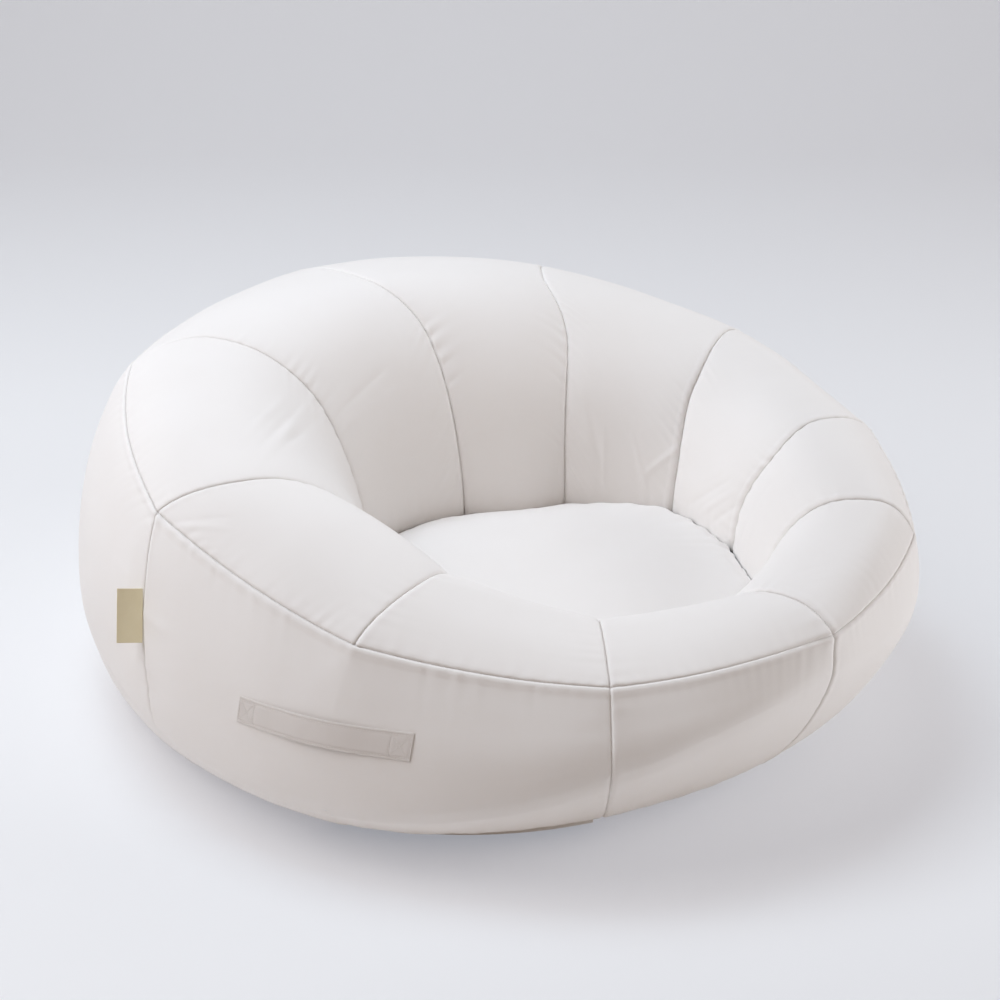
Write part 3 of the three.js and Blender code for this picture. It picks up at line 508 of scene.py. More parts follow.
def allowance_height(distance, height=0.0006, width=0.009):
    """Low ridge where the seam's folded edges lie under the cloth."""
    return height * smooth_step(distance, 0.001, 0.0045) * (1 - smooth_step(distance, width, width + 0.003))


def pucker_height(distance, along, size, seed, pitch=0.02, reach=0.022):
    """Small gathers across a seam, which die away from it."""
    ripple = slow_noise(np.asarray(along)[..., None], pitch, seed)
    return size * ripple * np.exp(-distance / reach) * smooth_step(distance, 0, 0.004)


# %% [markdown]
# ## Folds
# The cloth is taut, so only a few folds show: fans of creases on the nest's wall, small creases by the
# left seam and a few slack ones near the side tab. Each is a soft ridge between two places on the ring,
# given as angle and turn in degrees, with its width and height in millimetres. A negative height is a
# crease.

# %% Places of the folds
FOLDS = [
    (-88, 53, -83, 70, 3.5, -1.6), (-87, 54, -81, 66, 4.0, 1.2), (-86, 51, -83, 60, 2.5, -0.9),
    (-84, 50, -81, 59, 2.5, -0.9), (-82, 50, -79, 58, 2.5, -0.8), (-80, 49, -77, 57, 2.5, -0.7),
    (-77, 48, -74, 56, 2.5, -0.6), (-92, 96, -126, 134, 5.0, -1.6), (-90, 91, -125, 128, 6.0, 1.5),
    (-97, 101, -121, 126, 4.0, -1.2), (-99, 98, -119, 120, 5.0, 1.1), (-112, 122, -146, 123, 6.0, -1.5),
    (-111, 127, -140, 130, 6.0, 1.2), (-129, 137, -147, 131, 5.0, -1.2), (-128, 141, -150, 138, 5.0, 1.0),
    (159, 132, 154, 158, 7.0, 1.7), (156, 144, 149, 164, 5.0, -1.1), (150, 150, 149, 168, 4.0, 0.9),
    (141, 150, 134, 168, 4.0, 1.0), (137, 164, 122, 143, 5.0, 1.5), (131, 169, 104, 146, 4.5, 1.1),
    (119, 168, 99, 148, 4.0, -1.1), (112, 168, 95, 151, 4.0, 1.1), (104, 168, 90, 154, 4.0, -0.9),
    (80, 165, 77, 128, 5.0, -1.4), (72, 160, 78, 122, 5.0, 1.2), (25, 101, 35, 67, 4.0, -0.7),
    (23, 94, 31, 61, 4.0, 0.6), (-99, 28, -82, 32, 5.5, 2.2), (-91, 24, -83, 26, 5.0, 1.6),
    (-92, 11, -84, 15, 5.0, 1.5), (-93, 4, -85, 7, 5.0, -1.2), (-93, -3, -86, 1, 5.0, 1.1),
    (-92, -10, -86, -7, 5.0, 0.9), (-27, 8, -13, -14, 6.0, -0.9), (-60, -38, -52, -46, 7.0, 1.6),
    (-55, -40, -47, -50, 6.0, -1.4), (-48, -38, -41, -47, 7.0, 1.3), (-38, -40, -33, -50, 6.0, -1.1),
    (205, 118, 200, 150, 6.0, 0.9), (196, 124, 192, 160, 5.0, -0.8), (178, 128, 176, 162, 6.0, 0.9),
]


def fold_heights(points):
    """Sum of soft ridges: a bell curve across each fold's line, which tapers towards its ends."""
    total = np.zeros(points.shape[:-1])
    for angle_a, turn_a, angle_b, turn_b, width, height in FOLDS:
        start = ring_point(np.radians(angle_a), np.radians(turn_a))
        line = ring_point(np.radians(angle_b), np.radians(turn_b)) - start
        share = np.clip((points - start) @ line / (line @ line), 0, 1)
        away = np.linalg.norm(points - start - share[..., None] * line, axis=-1)
        total += height / MM_PER_M * bell(away * MM_PER_M, width) * np.sin(np.pi * (0.04 + 0.92 * share))
    return total


SOFT_ANGLE, SOFT_TURN = 0.07, 0.20
EDGE_BELOW, EDGE_ABOVE = 0.050, 0.10
EDGE_RIDGE, FRONT_RIDGE, FRONT_HOLLOW = 0.004, 0.005, 0.008
FRONT_LEAD, FRONT_SPAN = 0.2, 1.8


def soft_ring(angle, turn):
    """The ring as cloth takes it: a weighted mean of nine points, closer together towards panel edges."""
    spread = smooth_step(shoulder(angle) - turn, 0, 0.4) * smooth_step(turn, -0.9, -0.4)
    points = 0
    for across, column_weight in ((-1, 0.25), (0, 0.5), (1, 0.25)):
        for up, turn_weight in ((-1, 0.25), (0, 0.5), (1, 0.25)):
            nearby = ring_point(angle + across * SOFT_ANGLE * spread, turn + up * SOFT_TURN * spread)
            points = points + column_weight * turn_weight * nearby
    return points


def edge_height(angle, turn):
    """Blunt edge at the shoulder seam: a ridge e^-s on both sides, and a hollow s e^(1-s) on the band's."""
    away = np.linalg.norm(ring_point(angle, turn) - ring_point(angle, shoulder(angle)), axis=-1)
    below = turn < shoulder(angle)
    steps = away / np.where(below, EDGE_BELOW, EDGE_ABOVE)
    from_front = np.arctan2(np.sin(angle), np.cos(angle)) + FRONT_LEAD
    in_front = np.cos(np.clip(from_front / FRONT_SPAN, -1, 1) * QUARTER) ** 2
    ridge = (EDGE_RIDGE + FRONT_RIDGE * in_front) * np.exp(-steps)
    return ridge - FRONT_HOLLOW * in_front * below * steps * np.exp(1 - steps)


def taut_height(angle, turn):
    """Heights that every panel shares: slow swells of the air inside, the folds and the shoulder's edge."""
    points = ring_point(angle, turn)
    return 0.0008 * slow_noise(points, 0.16, 50) + fold_heights(points) + edge_height(angle, turn)


print("folds", len(FOLDS))

# %% [markdown]
# ## Top gores and side band
# Ten wedges of cloth run from the shoulder seam over the crest and down to the seat. Four panels make
# the band below. Each is a grid between its seams. On the nest's wall the seams are tight and the
# cloth bulges between them.

# %% Cover panels
CLOTH_STEP = 0.004
TUCK_ON_TOP, TUCK_ON_WALL = 0.0010, 0.0030
PUFF_ON_TOP, PUFF_ON_WALL = 0.0012, 0.0020


def panel_grid(first, last, low_turn, high_turn):
    """Angles and turns of a panel: even steps between its four edges, about one cloth step long."""
    probe = np.linspace(first, last, 9)
    turns = np.linspace(low_turn(probe), high_turn(probe), 60)
    path = ring_point(probe, turns)
    tall = np.linalg.norm(np.diff(path, axis=0), axis=-1).sum(0).max()
    wide = from_nest(path).max() * (last - first)
    angle = np.linspace(first, last, int(np.ceil(wide / CLOTH_STEP)) + 1)
    share = np.linspace(0, 1, int(np.ceil(tall / CLOTH_STEP)) + 1)[:, None]
    turn = low_turn(angle) + share * (high_turn(angle) - low_turn(angle))
    return np.broadcast_to(angle, turn.shape), turn


def panel_heights(angle, turn, across, up, seed):
    """Sum of the tuck at the seams, the bulge between them, grooves, seam allowances, puckers and folds."""
    left, right, top = across - across[:, :1], across[:, -1:] - across, up[-1:] - up
    side = np.minimum(left, right)
    on_wall = smooth_step(turn, np.radians(80), np.radians(130))
    on_top = smooth_step(turn - shoulder(angle), 0, np.radians(25))
    half = across[:, -1:]
    ends = smooth_step(np.minimum(up, top), 0, 0.07)
    tuck = -(TUCK_ON_TOP * on_top + TUCK_ON_WALL * on_wall) * np.exp(-side / (0.010 + 0.006 * on_wall))
    puff = PUFF_ON_TOP * on_top + PUFF_ON_WALL * on_wall
    puff = puff * np.cos(np.clip(across / half, -1, 1) * QUARTER) ** 0.8
    height = tuck * smooth_step(up, 0, 0.05) + puff * ends
    gathers = ((side, up, 0.0004 + 0.0005 * on_wall), (up, across, 0.0006), (top, across, 0.0006))
    for number, (distance, along, size) in enumerate(gathers):
        height = height + seam_height(distance) + pucker_height(distance, along, size, seed + number)
    return height + allowance_height(left) + taut_height(angle, turn)


def cloth_panel(name, first, last, low_turn, high_turn, seed, bottom_gathers=0.0, lip_on_top=False):
    """The soft ring between a panel's seams, moved along the ring's normal by the sum of its heights."""
    angle, turn = panel_grid(first, last, low_turn, high_turn)
    points = soft_ring(angle, turn)
    across, up = grid_lengths(points)
    height = panel_heights(angle, turn, across, up, seed)
    height += pucker_height(up, across, bottom_gathers, seed + 5, 0.045, 0.035)
    height += allowance_height(up[-1:] - up, 0.0012, 0.008) * lip_on_top
    points = points + ring_normal(angle, turn) * height[..., None]
    uv = np.stack([across, up], -1)
    piece = mesh_object(name + "_cloth", points, grid_quads(*turn.shape), cover_cloth, uv)
    thicken(piece, COVER_THICKNESS)
    dress(piece, stands_for=[name])
    steps = np.cross(np.diff(points, axis=1)[:-1], np.diff(points, axis=0)[:, :-1])
    area = float(np.linalg.norm(steps, axis=-1).sum())
    flat = (float(np.ptp(across, axis=1).max()), float(up.max()))
    area = min(area, flat[0] * flat[1])
    return flat


def gore_foot(angle):
    """Lower edge of the gores, tucked down between the seat and the wall."""
    return wall_turn(angle, SEAT_RIM_HEIGHT - 0.014)


GORE_NAMES = (
    "front", "front_right", "right_front", "right_rear", "rear_right",
    "rear", "rear_left", "left_rear", "left_front", "front_left",
)
for number, name in enumerate(GORE_NAMES):
    ends = (number - 0.5) * GORE_ANGLE, (number + 0.5) * GORE_ANGLE
    flat = cloth_panel("top_gore_" + name, *ends, shoulder, gore_foot, 10 * number)
    print("top gore", name, "cut", [round(v, 3) for v in flat])

# %% Side band
BASE_SEAM_HEIGHT = 0.018
ZIP_WIDTH = 0.012
ZIP_START, ZIP_END = np.radians((298.3, 340.8))
ZIP_EASE_OUT, ZIP_EASE_IN = 0.006, 0.002


def by_the_zip(angle):
    """Share from 0 to 1: 1 along the zip, falling to 0 within half a degree at its ends."""
    opening = smooth_step(angle, ZIP_START - ZIP_EASE_OUT, ZIP_START + ZIP_EASE_IN)
    return opening * (1 - smooth_step(angle, ZIP_END - ZIP_EASE_IN, ZIP_END + ZIP_EASE_OUT))


def band_edge(angle):
    """Lower edge of the band: the base seam, and above the zip where that is."""
    return side_turn(angle, BASE_SEAM_HEIGHT + by_the_zip(angle) * (ZIP_WIDTH / 2 + SEAM_GAP))


BAND = {"front": (-0.5, 0.5), "right": (0.5, 2.5), "rear": (2.5, 7.5), "left": (7.5, 9.5)}
for number, (name, ends) in enumerate(BAND.items()):
    first, last = (end * GORE_ANGLE for end in ends)
    seed = 300 + 10 * number
    flat = cloth_panel("side_panel_" + name, first, last, band_edge, shoulder, seed, 0.0014, True)
    print("side panel", name, "cut", [round(v, 3) for v in flat])

# %% [markdown]
# ## Base panel
# The base is a round of tougher cloth that lies flat on the floor. Its rim turns up to the base seam.


# %% Base panel
def base_panel(columns=720, rings=60, rim_rows=8):
    """Circles that grow from the middle to the base's edge, then rows up the ring to the base seam."""
    angle = full_circle(columns)
    rim_turn = side_turn(angle, BASE_SEAM_HEIGHT - SEAM_GAP - by_the_zip(angle) * (ZIP_WIDTH / 2 + 0.0012))
    edge = ring_point(angle, np.full_like(angle, -QUARTER))
    share = np.linspace(0, 1, rings)[:, None, None] ** 0.8
    discs = edge * share * [1, 1, 0]
    edge_ripple = smooth_step(share[..., 0], 0.8, 1)
    wave = np.maximum(1 + slow_noise(discs[..., :2], 0.06, 5), 0)
    discs[..., 2] = 0.0007 * edge_ripple * wave
    rise = np.linspace(0, 1, rim_rows + 1)[1:, None]
    lift = discs[-1, :, 2] * (1 - rise)
    rims = ring_point(angle, -QUARTER + rise * (rim_turn + QUARTER))
    rims[..., 2] += lift
    points = np.concatenate([discs, rims])
    faces = grid_quads(len(points), columns, wrap=True)
    piece = mesh_object("base_panel_cloth", points, faces, base_cloth, points[..., :2])
    thicken(weld(piece), COVER_THICKNESS)
    dress(piece, stands_for=["base_panel"])
    return piece


print("base panel reaches", [round(v, 3) for v in base_panel().dimensions])

# %% [markdown]
# ## Seat
# The seat is a round pad at the bottom of the nest. It starts a little slack and air pressure swells
# it against the nest's wall, so cloth simulation gives its crown and its rounded edge. Remeshing first
# gives even squares, which is what cloth needs. The small gathers at the edge are finer than the
# squares, so they come after it.


# %% Seat pad
SEAT_OVERLAP = 0.006
SEAT_CROWN, SEAT_EDGE_ROUND, SEAT_BELLY = 0.016, 0.009, 0.018
SEAT_SQUARE, SEAT_PRESSURE, SEAT_FRAMES, SEAT_CAP = 0.005, 4.0, 20, 0.006


def seat_reach(angle):
    """Distance from the nest's middle to its wall at the height of the seat's rim."""
    return from_nest(ring_point(angle, wall_turn(angle, SEAT_RIM_HEIGHT)))


def seat_start(rings=26, columns=160):
    """A lens with the nest's outline: a crown above and a shallow belly below, by the share of the reach."""
    angle = full_circle(columns)
    reach = seat_reach(angle) + SEAT_OVERLAP
    share = np.concatenate([np.linspace(1, 0, rings) ** 0.7, np.linspace(0, 1, rings)[1:-1] ** 0.7])
    crown = SEAT_CROWN * (1 - share**2) + SEAT_EDGE_ROUND * (1 - share**6)
    belly = -SEAT_BELLY * (1 - share**6)
    height = SEAT_RIM_HEIGHT - 0.004 + np.where(np.arange(len(share)) < rings, crown, belly)
    return round_the_nest(angle, share[:, None] * reach, height[:, None])


def mesh_points(piece):
    place = np.empty(len(piece.data.vertices) * 3, np.float32)
    piece.data.vertices.foreach_get("co", place)
    return place.reshape(-1, 3)


def set_mesh_points(piece, place):
    piece.data.vertices.foreach_set("co", np.asarray(place, np.float32).ravel())
    piece.data.update()


def remesh(piece, voxel):
    bpy.context.view_layer.objects.active = piece
    piece.data.remesh_voxel_size = voxel
    bpy.ops.object.voxel_remesh()
    piece.data.shade_smooth()


def swell(piece, pressure, frames, cap):
    """Cloth under air pressure without gravity; each point keeps at most the cap of its way."""
    before = mesh_points(piece)
    cloth = piece.modifiers.new("Cloth", "CLOTH")
    settings = cloth.settings
    settings.quality = 5
    settings.mass = 0.3
    settings.tension_stiffness = 25
    settings.compression_stiffness = 25
    settings.bending_stiffness = 1.5
    settings.use_pressure = True
    settings.uniform_pressure_force = pressure
    settings.effector_weights.gravity = 0
    cloth.point_cache.frame_start, cloth.point_cache.frame_end = 1, frames
    for number in range(1, frames + 1):
        scene.frame_set(number)
    evaluated = piece.evaluated_get(bpy.context.evaluated_depsgraph_get())
    after = mesh_points(evaluated)
    piece.modifiers.remove(cloth)
    scene.frame_set(1)
    way = after - before
    length = np.linalg.norm(way, axis=1, keepdims=True)
    set_mesh_points(piece, before + way * np.minimum(1, cap / np.maximum(length, 1e-9)))
    print(piece.name, "swelled by up to", round(float(np.minimum(length, cap).max()) * MM_PER_M, 1), "mm")


def seat_gathers(place):
    """Heights at the seat's edge: fine gathers all round, and deeper creases in from the right side."""
    away = place - NEST
    angle = np.arctan2(away[:, 0], -away[:, 1])
    inwards = seat_reach(angle) - from_nest(place)
    along = np.stack([np.cos(angle), np.sin(angle)], -1) * 0.25
    fine = slow_noise(along, 0.022, 61) * np.exp(-np.maximum(inwards, 0) / 0.012)
    right = bell(angle - np.radians(112), np.radians(38))
    deep = slow_noise(along, 0.034, 62) * np.exp(-np.maximum(inwards, 0) / 0.035) * right
    slow = slow_noise(place[:, :2], 0.14, 63)
    return (0.0009 * fine + 0.0030 * deep + 0.0008 * slow) * (place[:, 2] > SEAT_RIM_HEIGHT - 0.010)


def seat_pad():
    """The lens in even squares, swollen by air pressure and then gathered at its edge."""
    piece = closed_grid("seat_pad", seat_start()[:, ::-1], seat_cloth)
    remesh(piece, SEAT_SQUARE)
    swell(piece, SEAT_PRESSURE, SEAT_FRAMES, SEAT_CAP)
    place = mesh_points(piece)
    place[:, 2] += seat_gathers(place)
    set_mesh_points(piece, place)
    corner = np.empty(len(piece.data.loops), np.int32)
    piece.data.loops.foreach_get("vertex_index", corner)
    layer = piece.data.uv_layers.new(name="Cloth")
    layer.data.foreach_set("uv", place[corner, :2].ravel())
    finish = piece.modifiers.new("Smoother", "SUBSURF")
    finish.levels = finish.render_levels = 1
    dress(piece, stands_for=["seat_cover"])
    return piece


print("seat pad points", len(seat_pad().data.vertices))

# %% [markdown]
# ## Bladders
# Under the cover lie two bladders of welded sheet. They are smooth surfaces a few millimetres inside
# the cloth, each with a round dimple for its valve.

# %% Bladders
RING_VALVE = np.array([-0.38093, -0.54376, 0.08334])
SEAT_VALVE = np.array([0.0750, -0.3698, 0.0175])
RING_VALVE_ANGLE, RING_VALVE_HEIGHT = np.radians(306), 0.105
DIMPLE, RING_DIMPLE_DEPTH, SEAT_DIMPLE_DEPTH = 0.034, 0.010, 0.016


def ring_bladder(inset=0.012, columns=300, rows=110, foot_rows=18):
    """The ring's formula drawn in, then a quarter curve from the wall's foot down to the floor."""
    angle = full_circle(columns)
    turns = np.linspace(-QUARTER, 2 * QUARTER, rows)[:, None]
    over = ring_point(angle, turns, inset)
    wall = from_nest(over[-1])
    foot = wall + FOOT_SHARE * (base_reach(angle) - wall)
    bend = np.linspace(0, QUARTER, foot_rows)[1:, None]
    reach = foot - (foot - wall) * np.cos(bend) ** UPPER_EXPONENT
    height = inset + (WALL_FOOT_HEIGHT - inset) * (1 - np.sin(bend) ** UPPER_EXPONENT)
    points = np.concatenate([over, round_the_nest(angle, reach, height)])
    away = np.linalg.norm(points - RING_VALVE, axis=-1)
    inwards = ring_normal(RING_VALVE_ANGLE, side_turn(RING_VALVE_ANGLE, RING_VALVE_HEIGHT))
    points -= inwards * (RING_DIMPLE_DEPTH * (1 - smooth_step(away, DIMPLE, DIMPLE + 0.012)))[..., None]
    piece = closed_grid("ring_bladder_sheet", points, bladder_sheet)
    dress(piece, stands_for=["ring_bladder"])
    return piece


def seat_bladder(columns=200, inset=0.004):
    """A round cushion in the nest: flat bottom, rounded corner, upright side and crowned top."""
    angle = full_circle(columns)
    side = seat_reach(angle) - inset - 0.002
    corner, top = 0.055, SEAT_RIM_HEIGHT - 0.020
    bend = np.linspace(QUARTER, 0, 12)
    flat = np.linspace(0.001, 1, 40)[:-1]
    bottoms = [(side - corner) * share for share in flat] + [side - corner * (1 - np.cos(b)) for b in bend]
    heights = [0.0035] * len(flat) + [0.0035 + corner * (1 - np.sin(b)) for b in bend]
    share = np.linspace(1, 0.001, 30)
    tops = [side * s for s in share]
    heights += [top + 0.014 * (1 - s**2) for s in share]
    points = round_the_nest(angle, np.array(bottoms + tops), np.array(heights)[:, None])
    away = np.linalg.norm((points - SEAT_VALVE)[..., :2], axis=-1)
    dimple = SEAT_DIMPLE_DEPTH * (1 - smooth_step(away, DIMPLE, DIMPLE + 0.008))
    points[..., 2] += dimple * (points[..., 2] < 0.02)
    piece = closed_grid("seat_bladder_sheet", points, bladder_sheet)
    dress(piece, stands_for=["seat_bladder"])
    return piece


print("bladders", ring_bladder().name, seat_bladder().name)

# %% [markdown]
# ## Stitches
# A stitch is a short bent capsule of thread. There are hundreds, so each has only a few dozen faces. A
# helper lays them along any line, and all stitches of one handle become one mesh.


# %% Stitches
def capsules(start, end, normal, radius, lift):
    """Bent capsules between pairs of points: a half ellipse is their radius, a half sine their lift."""
    rings, corners = 7, 6
    share = np.linspace(0, 1, rings)[:, None]
    ring = full_circle(corners)
    line = end - start
    aside = unit(np.cross(line, normal))
    middle = start[:, None, None] + line[:, None, None] * share[..., None]
    middle = middle + normal[:, None, None] * (lift * np.sin(np.pi * share))[..., None]
    thick = radius * np.sqrt(np.clip(1 - (2 * share - 1) ** 2, 0, 1))
    sideways = aside[:, None, None] * (np.cos(ring) * thick)[..., None]
    upwards = normal[:, None, None] * (np.sin(ring) * thick)[..., None]
    points = middle + (sideways + upwards)
    quads = grid_quads(rings, corners, wrap=True)
    faces = (np.arange(len(start))[:, None, None] * rings * corners + quads).reshape(-1, 4)
    return points.reshape(-1, 3), faces


def along_line(points, normals, pitch, length):
    """Starts, ends and normals of stitches of one length, laid along a dense line at a pitch."""
    run = np.concatenate([[0], np.cumsum(np.linalg.norm(np.diff(points, axis=0), axis=1))])
    begin = np.arange(0, run[-1] - length, pitch)

    def at(place, values):
        return np.stack([np.interp(place, run, values[:, k]) for k in range(3)], -1)

    return at(begin, points), at(begin + length, points), at(begin + length / 2, normals)


def stitching(name, lines, body, pitch=0.0036, length=0.0030, radius=0.00032, lift=0.0003):
    parts = [along_line(points, normals, pitch, length) for points, normals in lines]
    start, end, normal = (np.concatenate([part[k] for part in parts]) for k in range(3))
    piece = weld(mesh_object(name, *capsules(start, end, normal, radius, lift), thread))
    dress(piece, body)
    return len(start)


# %% [markdown]
# ## Carry handles
# Each handle is a flat strap of the cover's cloth, folded and stitched along both edges. A boxed cross
# of stitches holds each end, and the strap bows out a little between them. It is a rounded section
# carried along the band.

# %% Carry handles
HANDLE = {"length": 0.246, "width": 0.031, "thickness": 0.0018, "bow": 0.003, "height": 0.186}
HANDLE_BOX = 0.026
EDGE_STITCH, END_STITCH = 0.0122, HANDLE["length"] / 2 - 0.003
DENT_WIDTH = 0.0013


def handle_place(middle, along, across, out):
    """Point over the side band: along the strap, across it and out from the cloth, all in metres."""
    height = HANDLE["height"] + across
    reach = from_nest(ring_point(middle, side_turn(middle, HANDLE["height"])))
    angle = middle + along / reach
    turn = side_turn(angle, height)
    normal = ring_normal(angle, turn)
    flat = soft_ring(angle, turn)
    share = np.clip(np.abs(along) / (HANDLE["length"] / 2 - HANDLE_BOX), 0, 1)
    bow = HANDLE["bow"] * np.cos(share * QUARTER) ** 2
    rise = taut_height(angle, turn) + 0.0002 + bow + out
    return flat + normal * rise[..., None], normal


def stitch_dent(along, across):
    """Dents under the stitching: a bell curve across each line of it."""
    depth = sum(bell(across - side * EDGE_STITCH, DENT_WIDTH) for side in (-1, 1))
    for line in (END_STITCH, END_STITCH - HANDLE_BOX):
        depth = depth + bell(np.abs(along) - line, DENT_WIDTH) * (np.abs(across) < EDGE_STITCH)
    into = (np.abs(along) - (END_STITCH - HANDLE_BOX)) / HANDLE_BOX
    for sign in (-1, 1):
        diagonal = across - sign * EDGE_STITCH * (2 * into - 1)
        depth = depth + 0.8 * bell(diagonal, DENT_WIDTH) * ((into > 0) & (into < 1))
    return np.clip(depth, 0, 1.2)


def handle(name, middle):
    """Rounded section round the strap, carried along it; its ends close in a short rounded lip."""
    steps, corners = 200, 64
    end = HANDLE["length"] / 2
    lip = np.array([0, 0.0004, 0.001])
    between = np.linspace(-end + 0.002, end - 0.002, steps)
    along = np.concatenate([-end + lip, between, end - lip[::-1]])[:, None]
    close = np.sqrt(np.clip(1 - np.clip(1 - (end - np.abs(along)) / 0.0016, 0, 1) ** 2, 0, 1))
    loop = full_circle(corners)
    flat_side = np.sign(np.cos(loop)) * np.abs(np.cos(loop)) ** 0.55
    thick = HANDLE["thickness"] / 2 * np.sign(np.sin(loop)) * np.abs(np.sin(loop)) ** 0.35
    across = flat_side * HANDLE["width"] / 2 * (0.985 + 0.015 * close)
    along_all = np.broadcast_to(along, across.shape)
    dent = 0.0005 * stitch_dent(along_all, across) * (thick > 0) * close
    ripple = 0.0002 * slow_noise(along_all[..., None], 0.05, 71)
    out = HANDLE["thickness"] / 2 + thick * close - dent + ripple
    points, _ = handle_place(middle, along_all, across, out)
    uv = np.stack([along_all, across], -1)
    quads = grid_quads(len(along), corners, wrap=True)
    piece = mesh_object(name + "_strap", points, quads, handle_cloth, uv)
    dress(weld(piece), stands_for=[name])
    return piece


def handle_stitches(name, middle):
    """Two rows along the edges and, at each end, a box with a cross in it."""
    end, inner, edge = END_STITCH, END_STITCH - HANDLE_BOX, EDGE_STITCH
    corners = [((-end, side * edge), (end, side * edge)) for side in (-1, 1)]
    for sign in (-1, 1):
        corners += [((sign * x, -edge), (sign * x, edge)) for x in (inner, end)]
        corners += [((sign * inner, side * edge), (sign * end, -side * edge)) for side in (-1, 1)]
    lines = []
    for first, second in corners:
        share = np.linspace(0, 1, 120)
        along = first[0] + (second[0] - first[0]) * share
        across = first[1] + (second[1] - first[1]) * share
        lines.append(handle_place(middle, along, across, np.full(120, HANDLE["thickness"] - 0.0003)))
    return stitching(name + "_stitches", lines, "lounger")


for name, degrees in (("carry_handle_front_left", -55.5), ("carry_handle_rear_right", 125)):
    middle = np.radians(degrees)
    print(handle(name, middle).name, "with", handle_stitches(name, middle), "stitches")

# %% [markdown]
# ## Side tab
# A short piece of woven tape, folded double and sewn into the left side seam. It stays bare. The fold
# is a small round bend at its free edge, and the two layers part a little there.

# %% Side tab
TAB_MIDDLE = np.array([-0.55018, -0.26709, 0.24203])
TAB_UP = np.array([0.1402, 0.3577, 0.9232])
TAB_OUT = np.array([-0.9890, 0.0940, 0.1138])
TAB_WIDTH, TAB_TALL, TAB_LAYER = 0.0298, 0.0692, 0.0004


def side_tab():
    """Two layers of tape: out along the back, round the fold and in along the front, with a slight curl."""
    up = TAB_UP / np.linalg.norm(TAB_UP)
    out = TAB_OUT - up * (TAB_OUT @ up)
    out /= np.linalg.norm(out)
    face = np.cross(out, up)
    straight = np.linspace(-0.0025, TAB_WIDTH - TAB_LAYER, 46)
    bend = np.linspace(-QUARTER, QUARTER, 9)[1:-1]
    away = np.concatenate([straight, TAB_WIDTH - TAB_LAYER + TAB_LAYER * np.cos(bend), straight[::-1]])
    gap = TAB_LAYER * (0.55 + 0.35 * np.sin(np.clip(straight / TAB_WIDTH, 0, 1) * np.pi))
    apart = np.concatenate([-gap, 0.6 * TAB_LAYER * np.sin(bend), gap[::-1]])
    rise = np.linspace(-0.5, 0.5, 90)[:, None] * TAB_TALL
    curl = 0.0016 * np.sin(away / TAB_WIDTH * 2.4) * np.cos(rise / TAB_TALL * 2.2)
    place = np.stack(np.broadcast_arrays(away, rise), -1)
    ripple = 0.00025 * slow_noise(place, 0.012, 81) * away / TAB_WIDTH
    offset = (apart + curl + ripple)[..., None]
    points = TAB_MIDDLE + out * away[:, None] + up * rise[..., None] + face * offset
    along = np.concatenate([[0], np.cumsum(np.hypot(np.diff(away), np.diff(apart)))])
    uv = np.stack(np.broadcast_arrays(along, rise), -1)
    piece = mesh_object("side_tab", points, grid_quads(*points.shape[:2]), label_cloth, uv)
    thicken(piece, TAB_LAYER, 0.0)
    dress(piece, "label", stands_for=["label_tab"])
    return piece


print("side tab", [round(v, 4) for v in side_tab().dimensions])

# %% [markdown]
# ## Zip
# A zip closes the base seam on the left, where the bladders go in. Two tapes run along an arc of the
# seam. Their coils are rows of small bent loops that mesh in the middle, so each loop is a capsule
# like a stitch.

# %% Zip
ZIP_CENTRE = np.array([-0.06008, -0.14396, 0.0])
ZIP_RADIUS = 0.43775
ZIP_BEARINGS = np.radians((-134.9, -89.05))
TAPE_CUT = (0.3505, 0.0105)
TAPE_SHOWN = 0.0054


def zip_place(bearing, height, proud):
    """Point on the zip's arc at a height and proud of it."""
    bearing, height, proud = np.broadcast_arrays(bearing, height, proud)
    reach = ZIP_RADIUS + proud
    return ZIP_CENTRE + np.stack([np.cos(bearing) * reach, np.sin(bearing) * reach, height], -1)


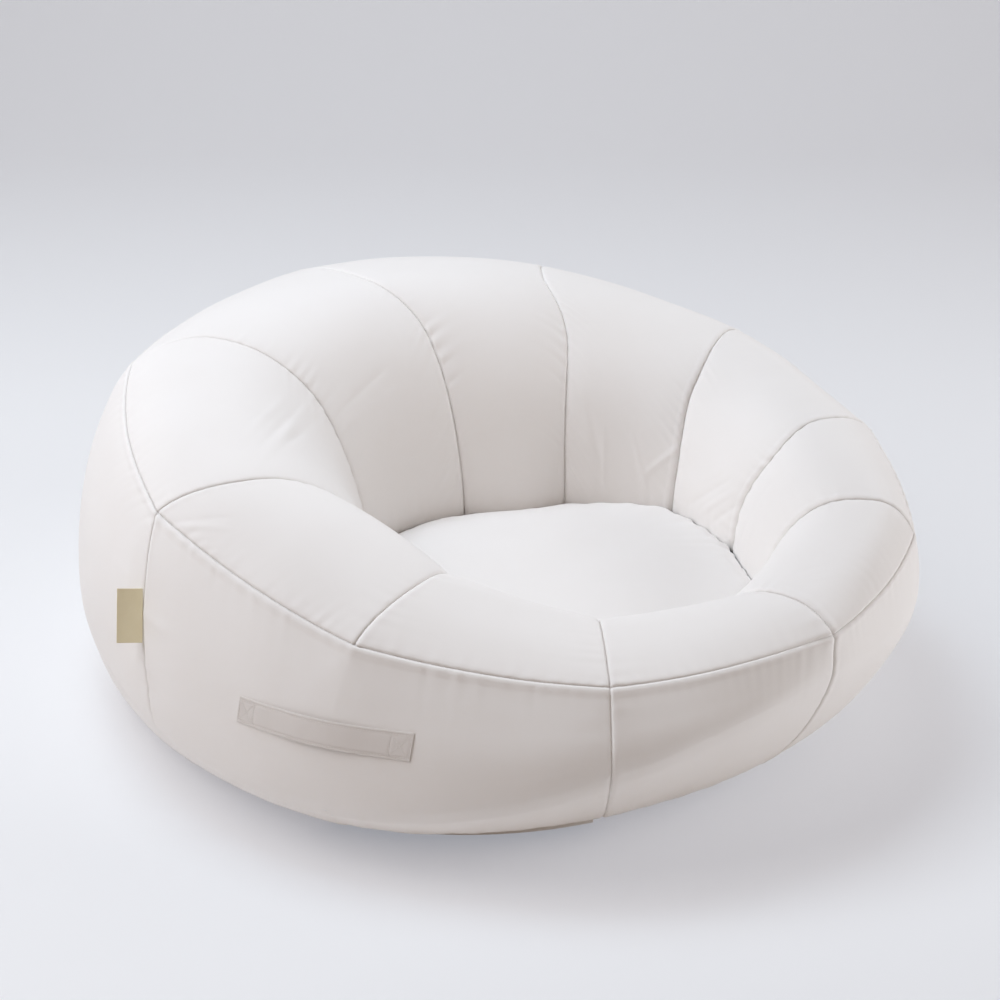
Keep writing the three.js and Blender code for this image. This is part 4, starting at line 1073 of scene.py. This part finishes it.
def zip_tape(name, sign):
    """Tape upright along the arc, which then slants away under the panel that it is sewn to."""
    bearing = np.linspace(*ZIP_BEARINGS, 260)
    across = np.linspace(0, TAPE_CUT[1], 26)[:, None]
    hidden = np.maximum(across - TAPE_SHOWN, 0)
    height = BASE_SEAM_HEIGHT + sign * (0.0006 + np.minimum(across, TAPE_SHOWN) + 0.45 * hidden)
    bead = 0.0002 * bell(across, 0.0007)
    wave = 0.0001 * slow_noise(bearing[:, None] * ZIP_RADIUS, 0.02, 90 + sign)
    proud = 0.0006 + bead + wave - 0.0016 * smooth_step(hidden, 0, 0.001) + sign * 0.89 * hidden
    points = zip_place(bearing, height, proud)
    points = points if sign > 0 else points[::-1]
    run = np.broadcast_to(bearing * ZIP_RADIUS, points.shape[:2])
    uv = np.stack([run, points[..., 2]], -1)
    piece = mesh_object(name + "_cloth", points, grid_quads(*points.shape[:2]), zip_cloth, uv)
    thicken(piece, 0.0006)
    dress(piece, stands_for=[name])
    return piece


def zip_coils(pitch=0.0012):
    """Loops of the two coils, one row half a step behind the other."""
    count = int(np.ptp(ZIP_BEARINGS) * ZIP_RADIUS / pitch)
    bearing = np.linspace(*ZIP_BEARINGS, 2 * count)
    sign = np.where(np.arange(2 * count) % 2, 1, -1)
    near = zip_place(bearing, BASE_SEAM_HEIGHT - sign * 0.0004, -0.0004)
    far = zip_place(bearing, BASE_SEAM_HEIGHT + sign * 0.0021, -0.0004)
    normal = np.stack([np.cos(bearing), np.sin(bearing), np.zeros_like(bearing)], -1)
    piece = mesh_object("zip_coils", *capsules(near, far, normal, 0.00034, 0.0003), coil_plastic)
    dress(weld(piece))
    return 2 * count


for name, sign in (("zip_tape_upper", 1), ("zip_tape_lower", -1)):
    print(zip_tape(name, sign).name)
print("zip loops", zip_coils())

# %% [markdown]
# ## Carried-over plastic parts
# The slider, its pull and the valves already have their true shape in the construction model. They
# only need a finish in place of the plain one that came with them.

# %% Finishes of the plastic parts
PLASTIC = {"zip_slider": zip_moulding, "zip_pull": zip_moulding}
for valve in ("ring_valve", "seat_valve"):
    PLASTIC[valve + "_body"] = PLASTIC[valve + "_cap"] = valve_moulding
    PLASTIC[valve + "_flap"] = flap_rubber
for name, material in PLASTIC.items():
    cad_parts[name].data.materials.clear()
    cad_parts[name].data.materials.append(material)
print("finished", ", ".join(PLASTIC))

# %% [markdown]
# ## Last update
# The view layer is brought up to date, so that every piece stands where it was put.

# %% Bring the scene up to date
bpy.context.view_layer.update()
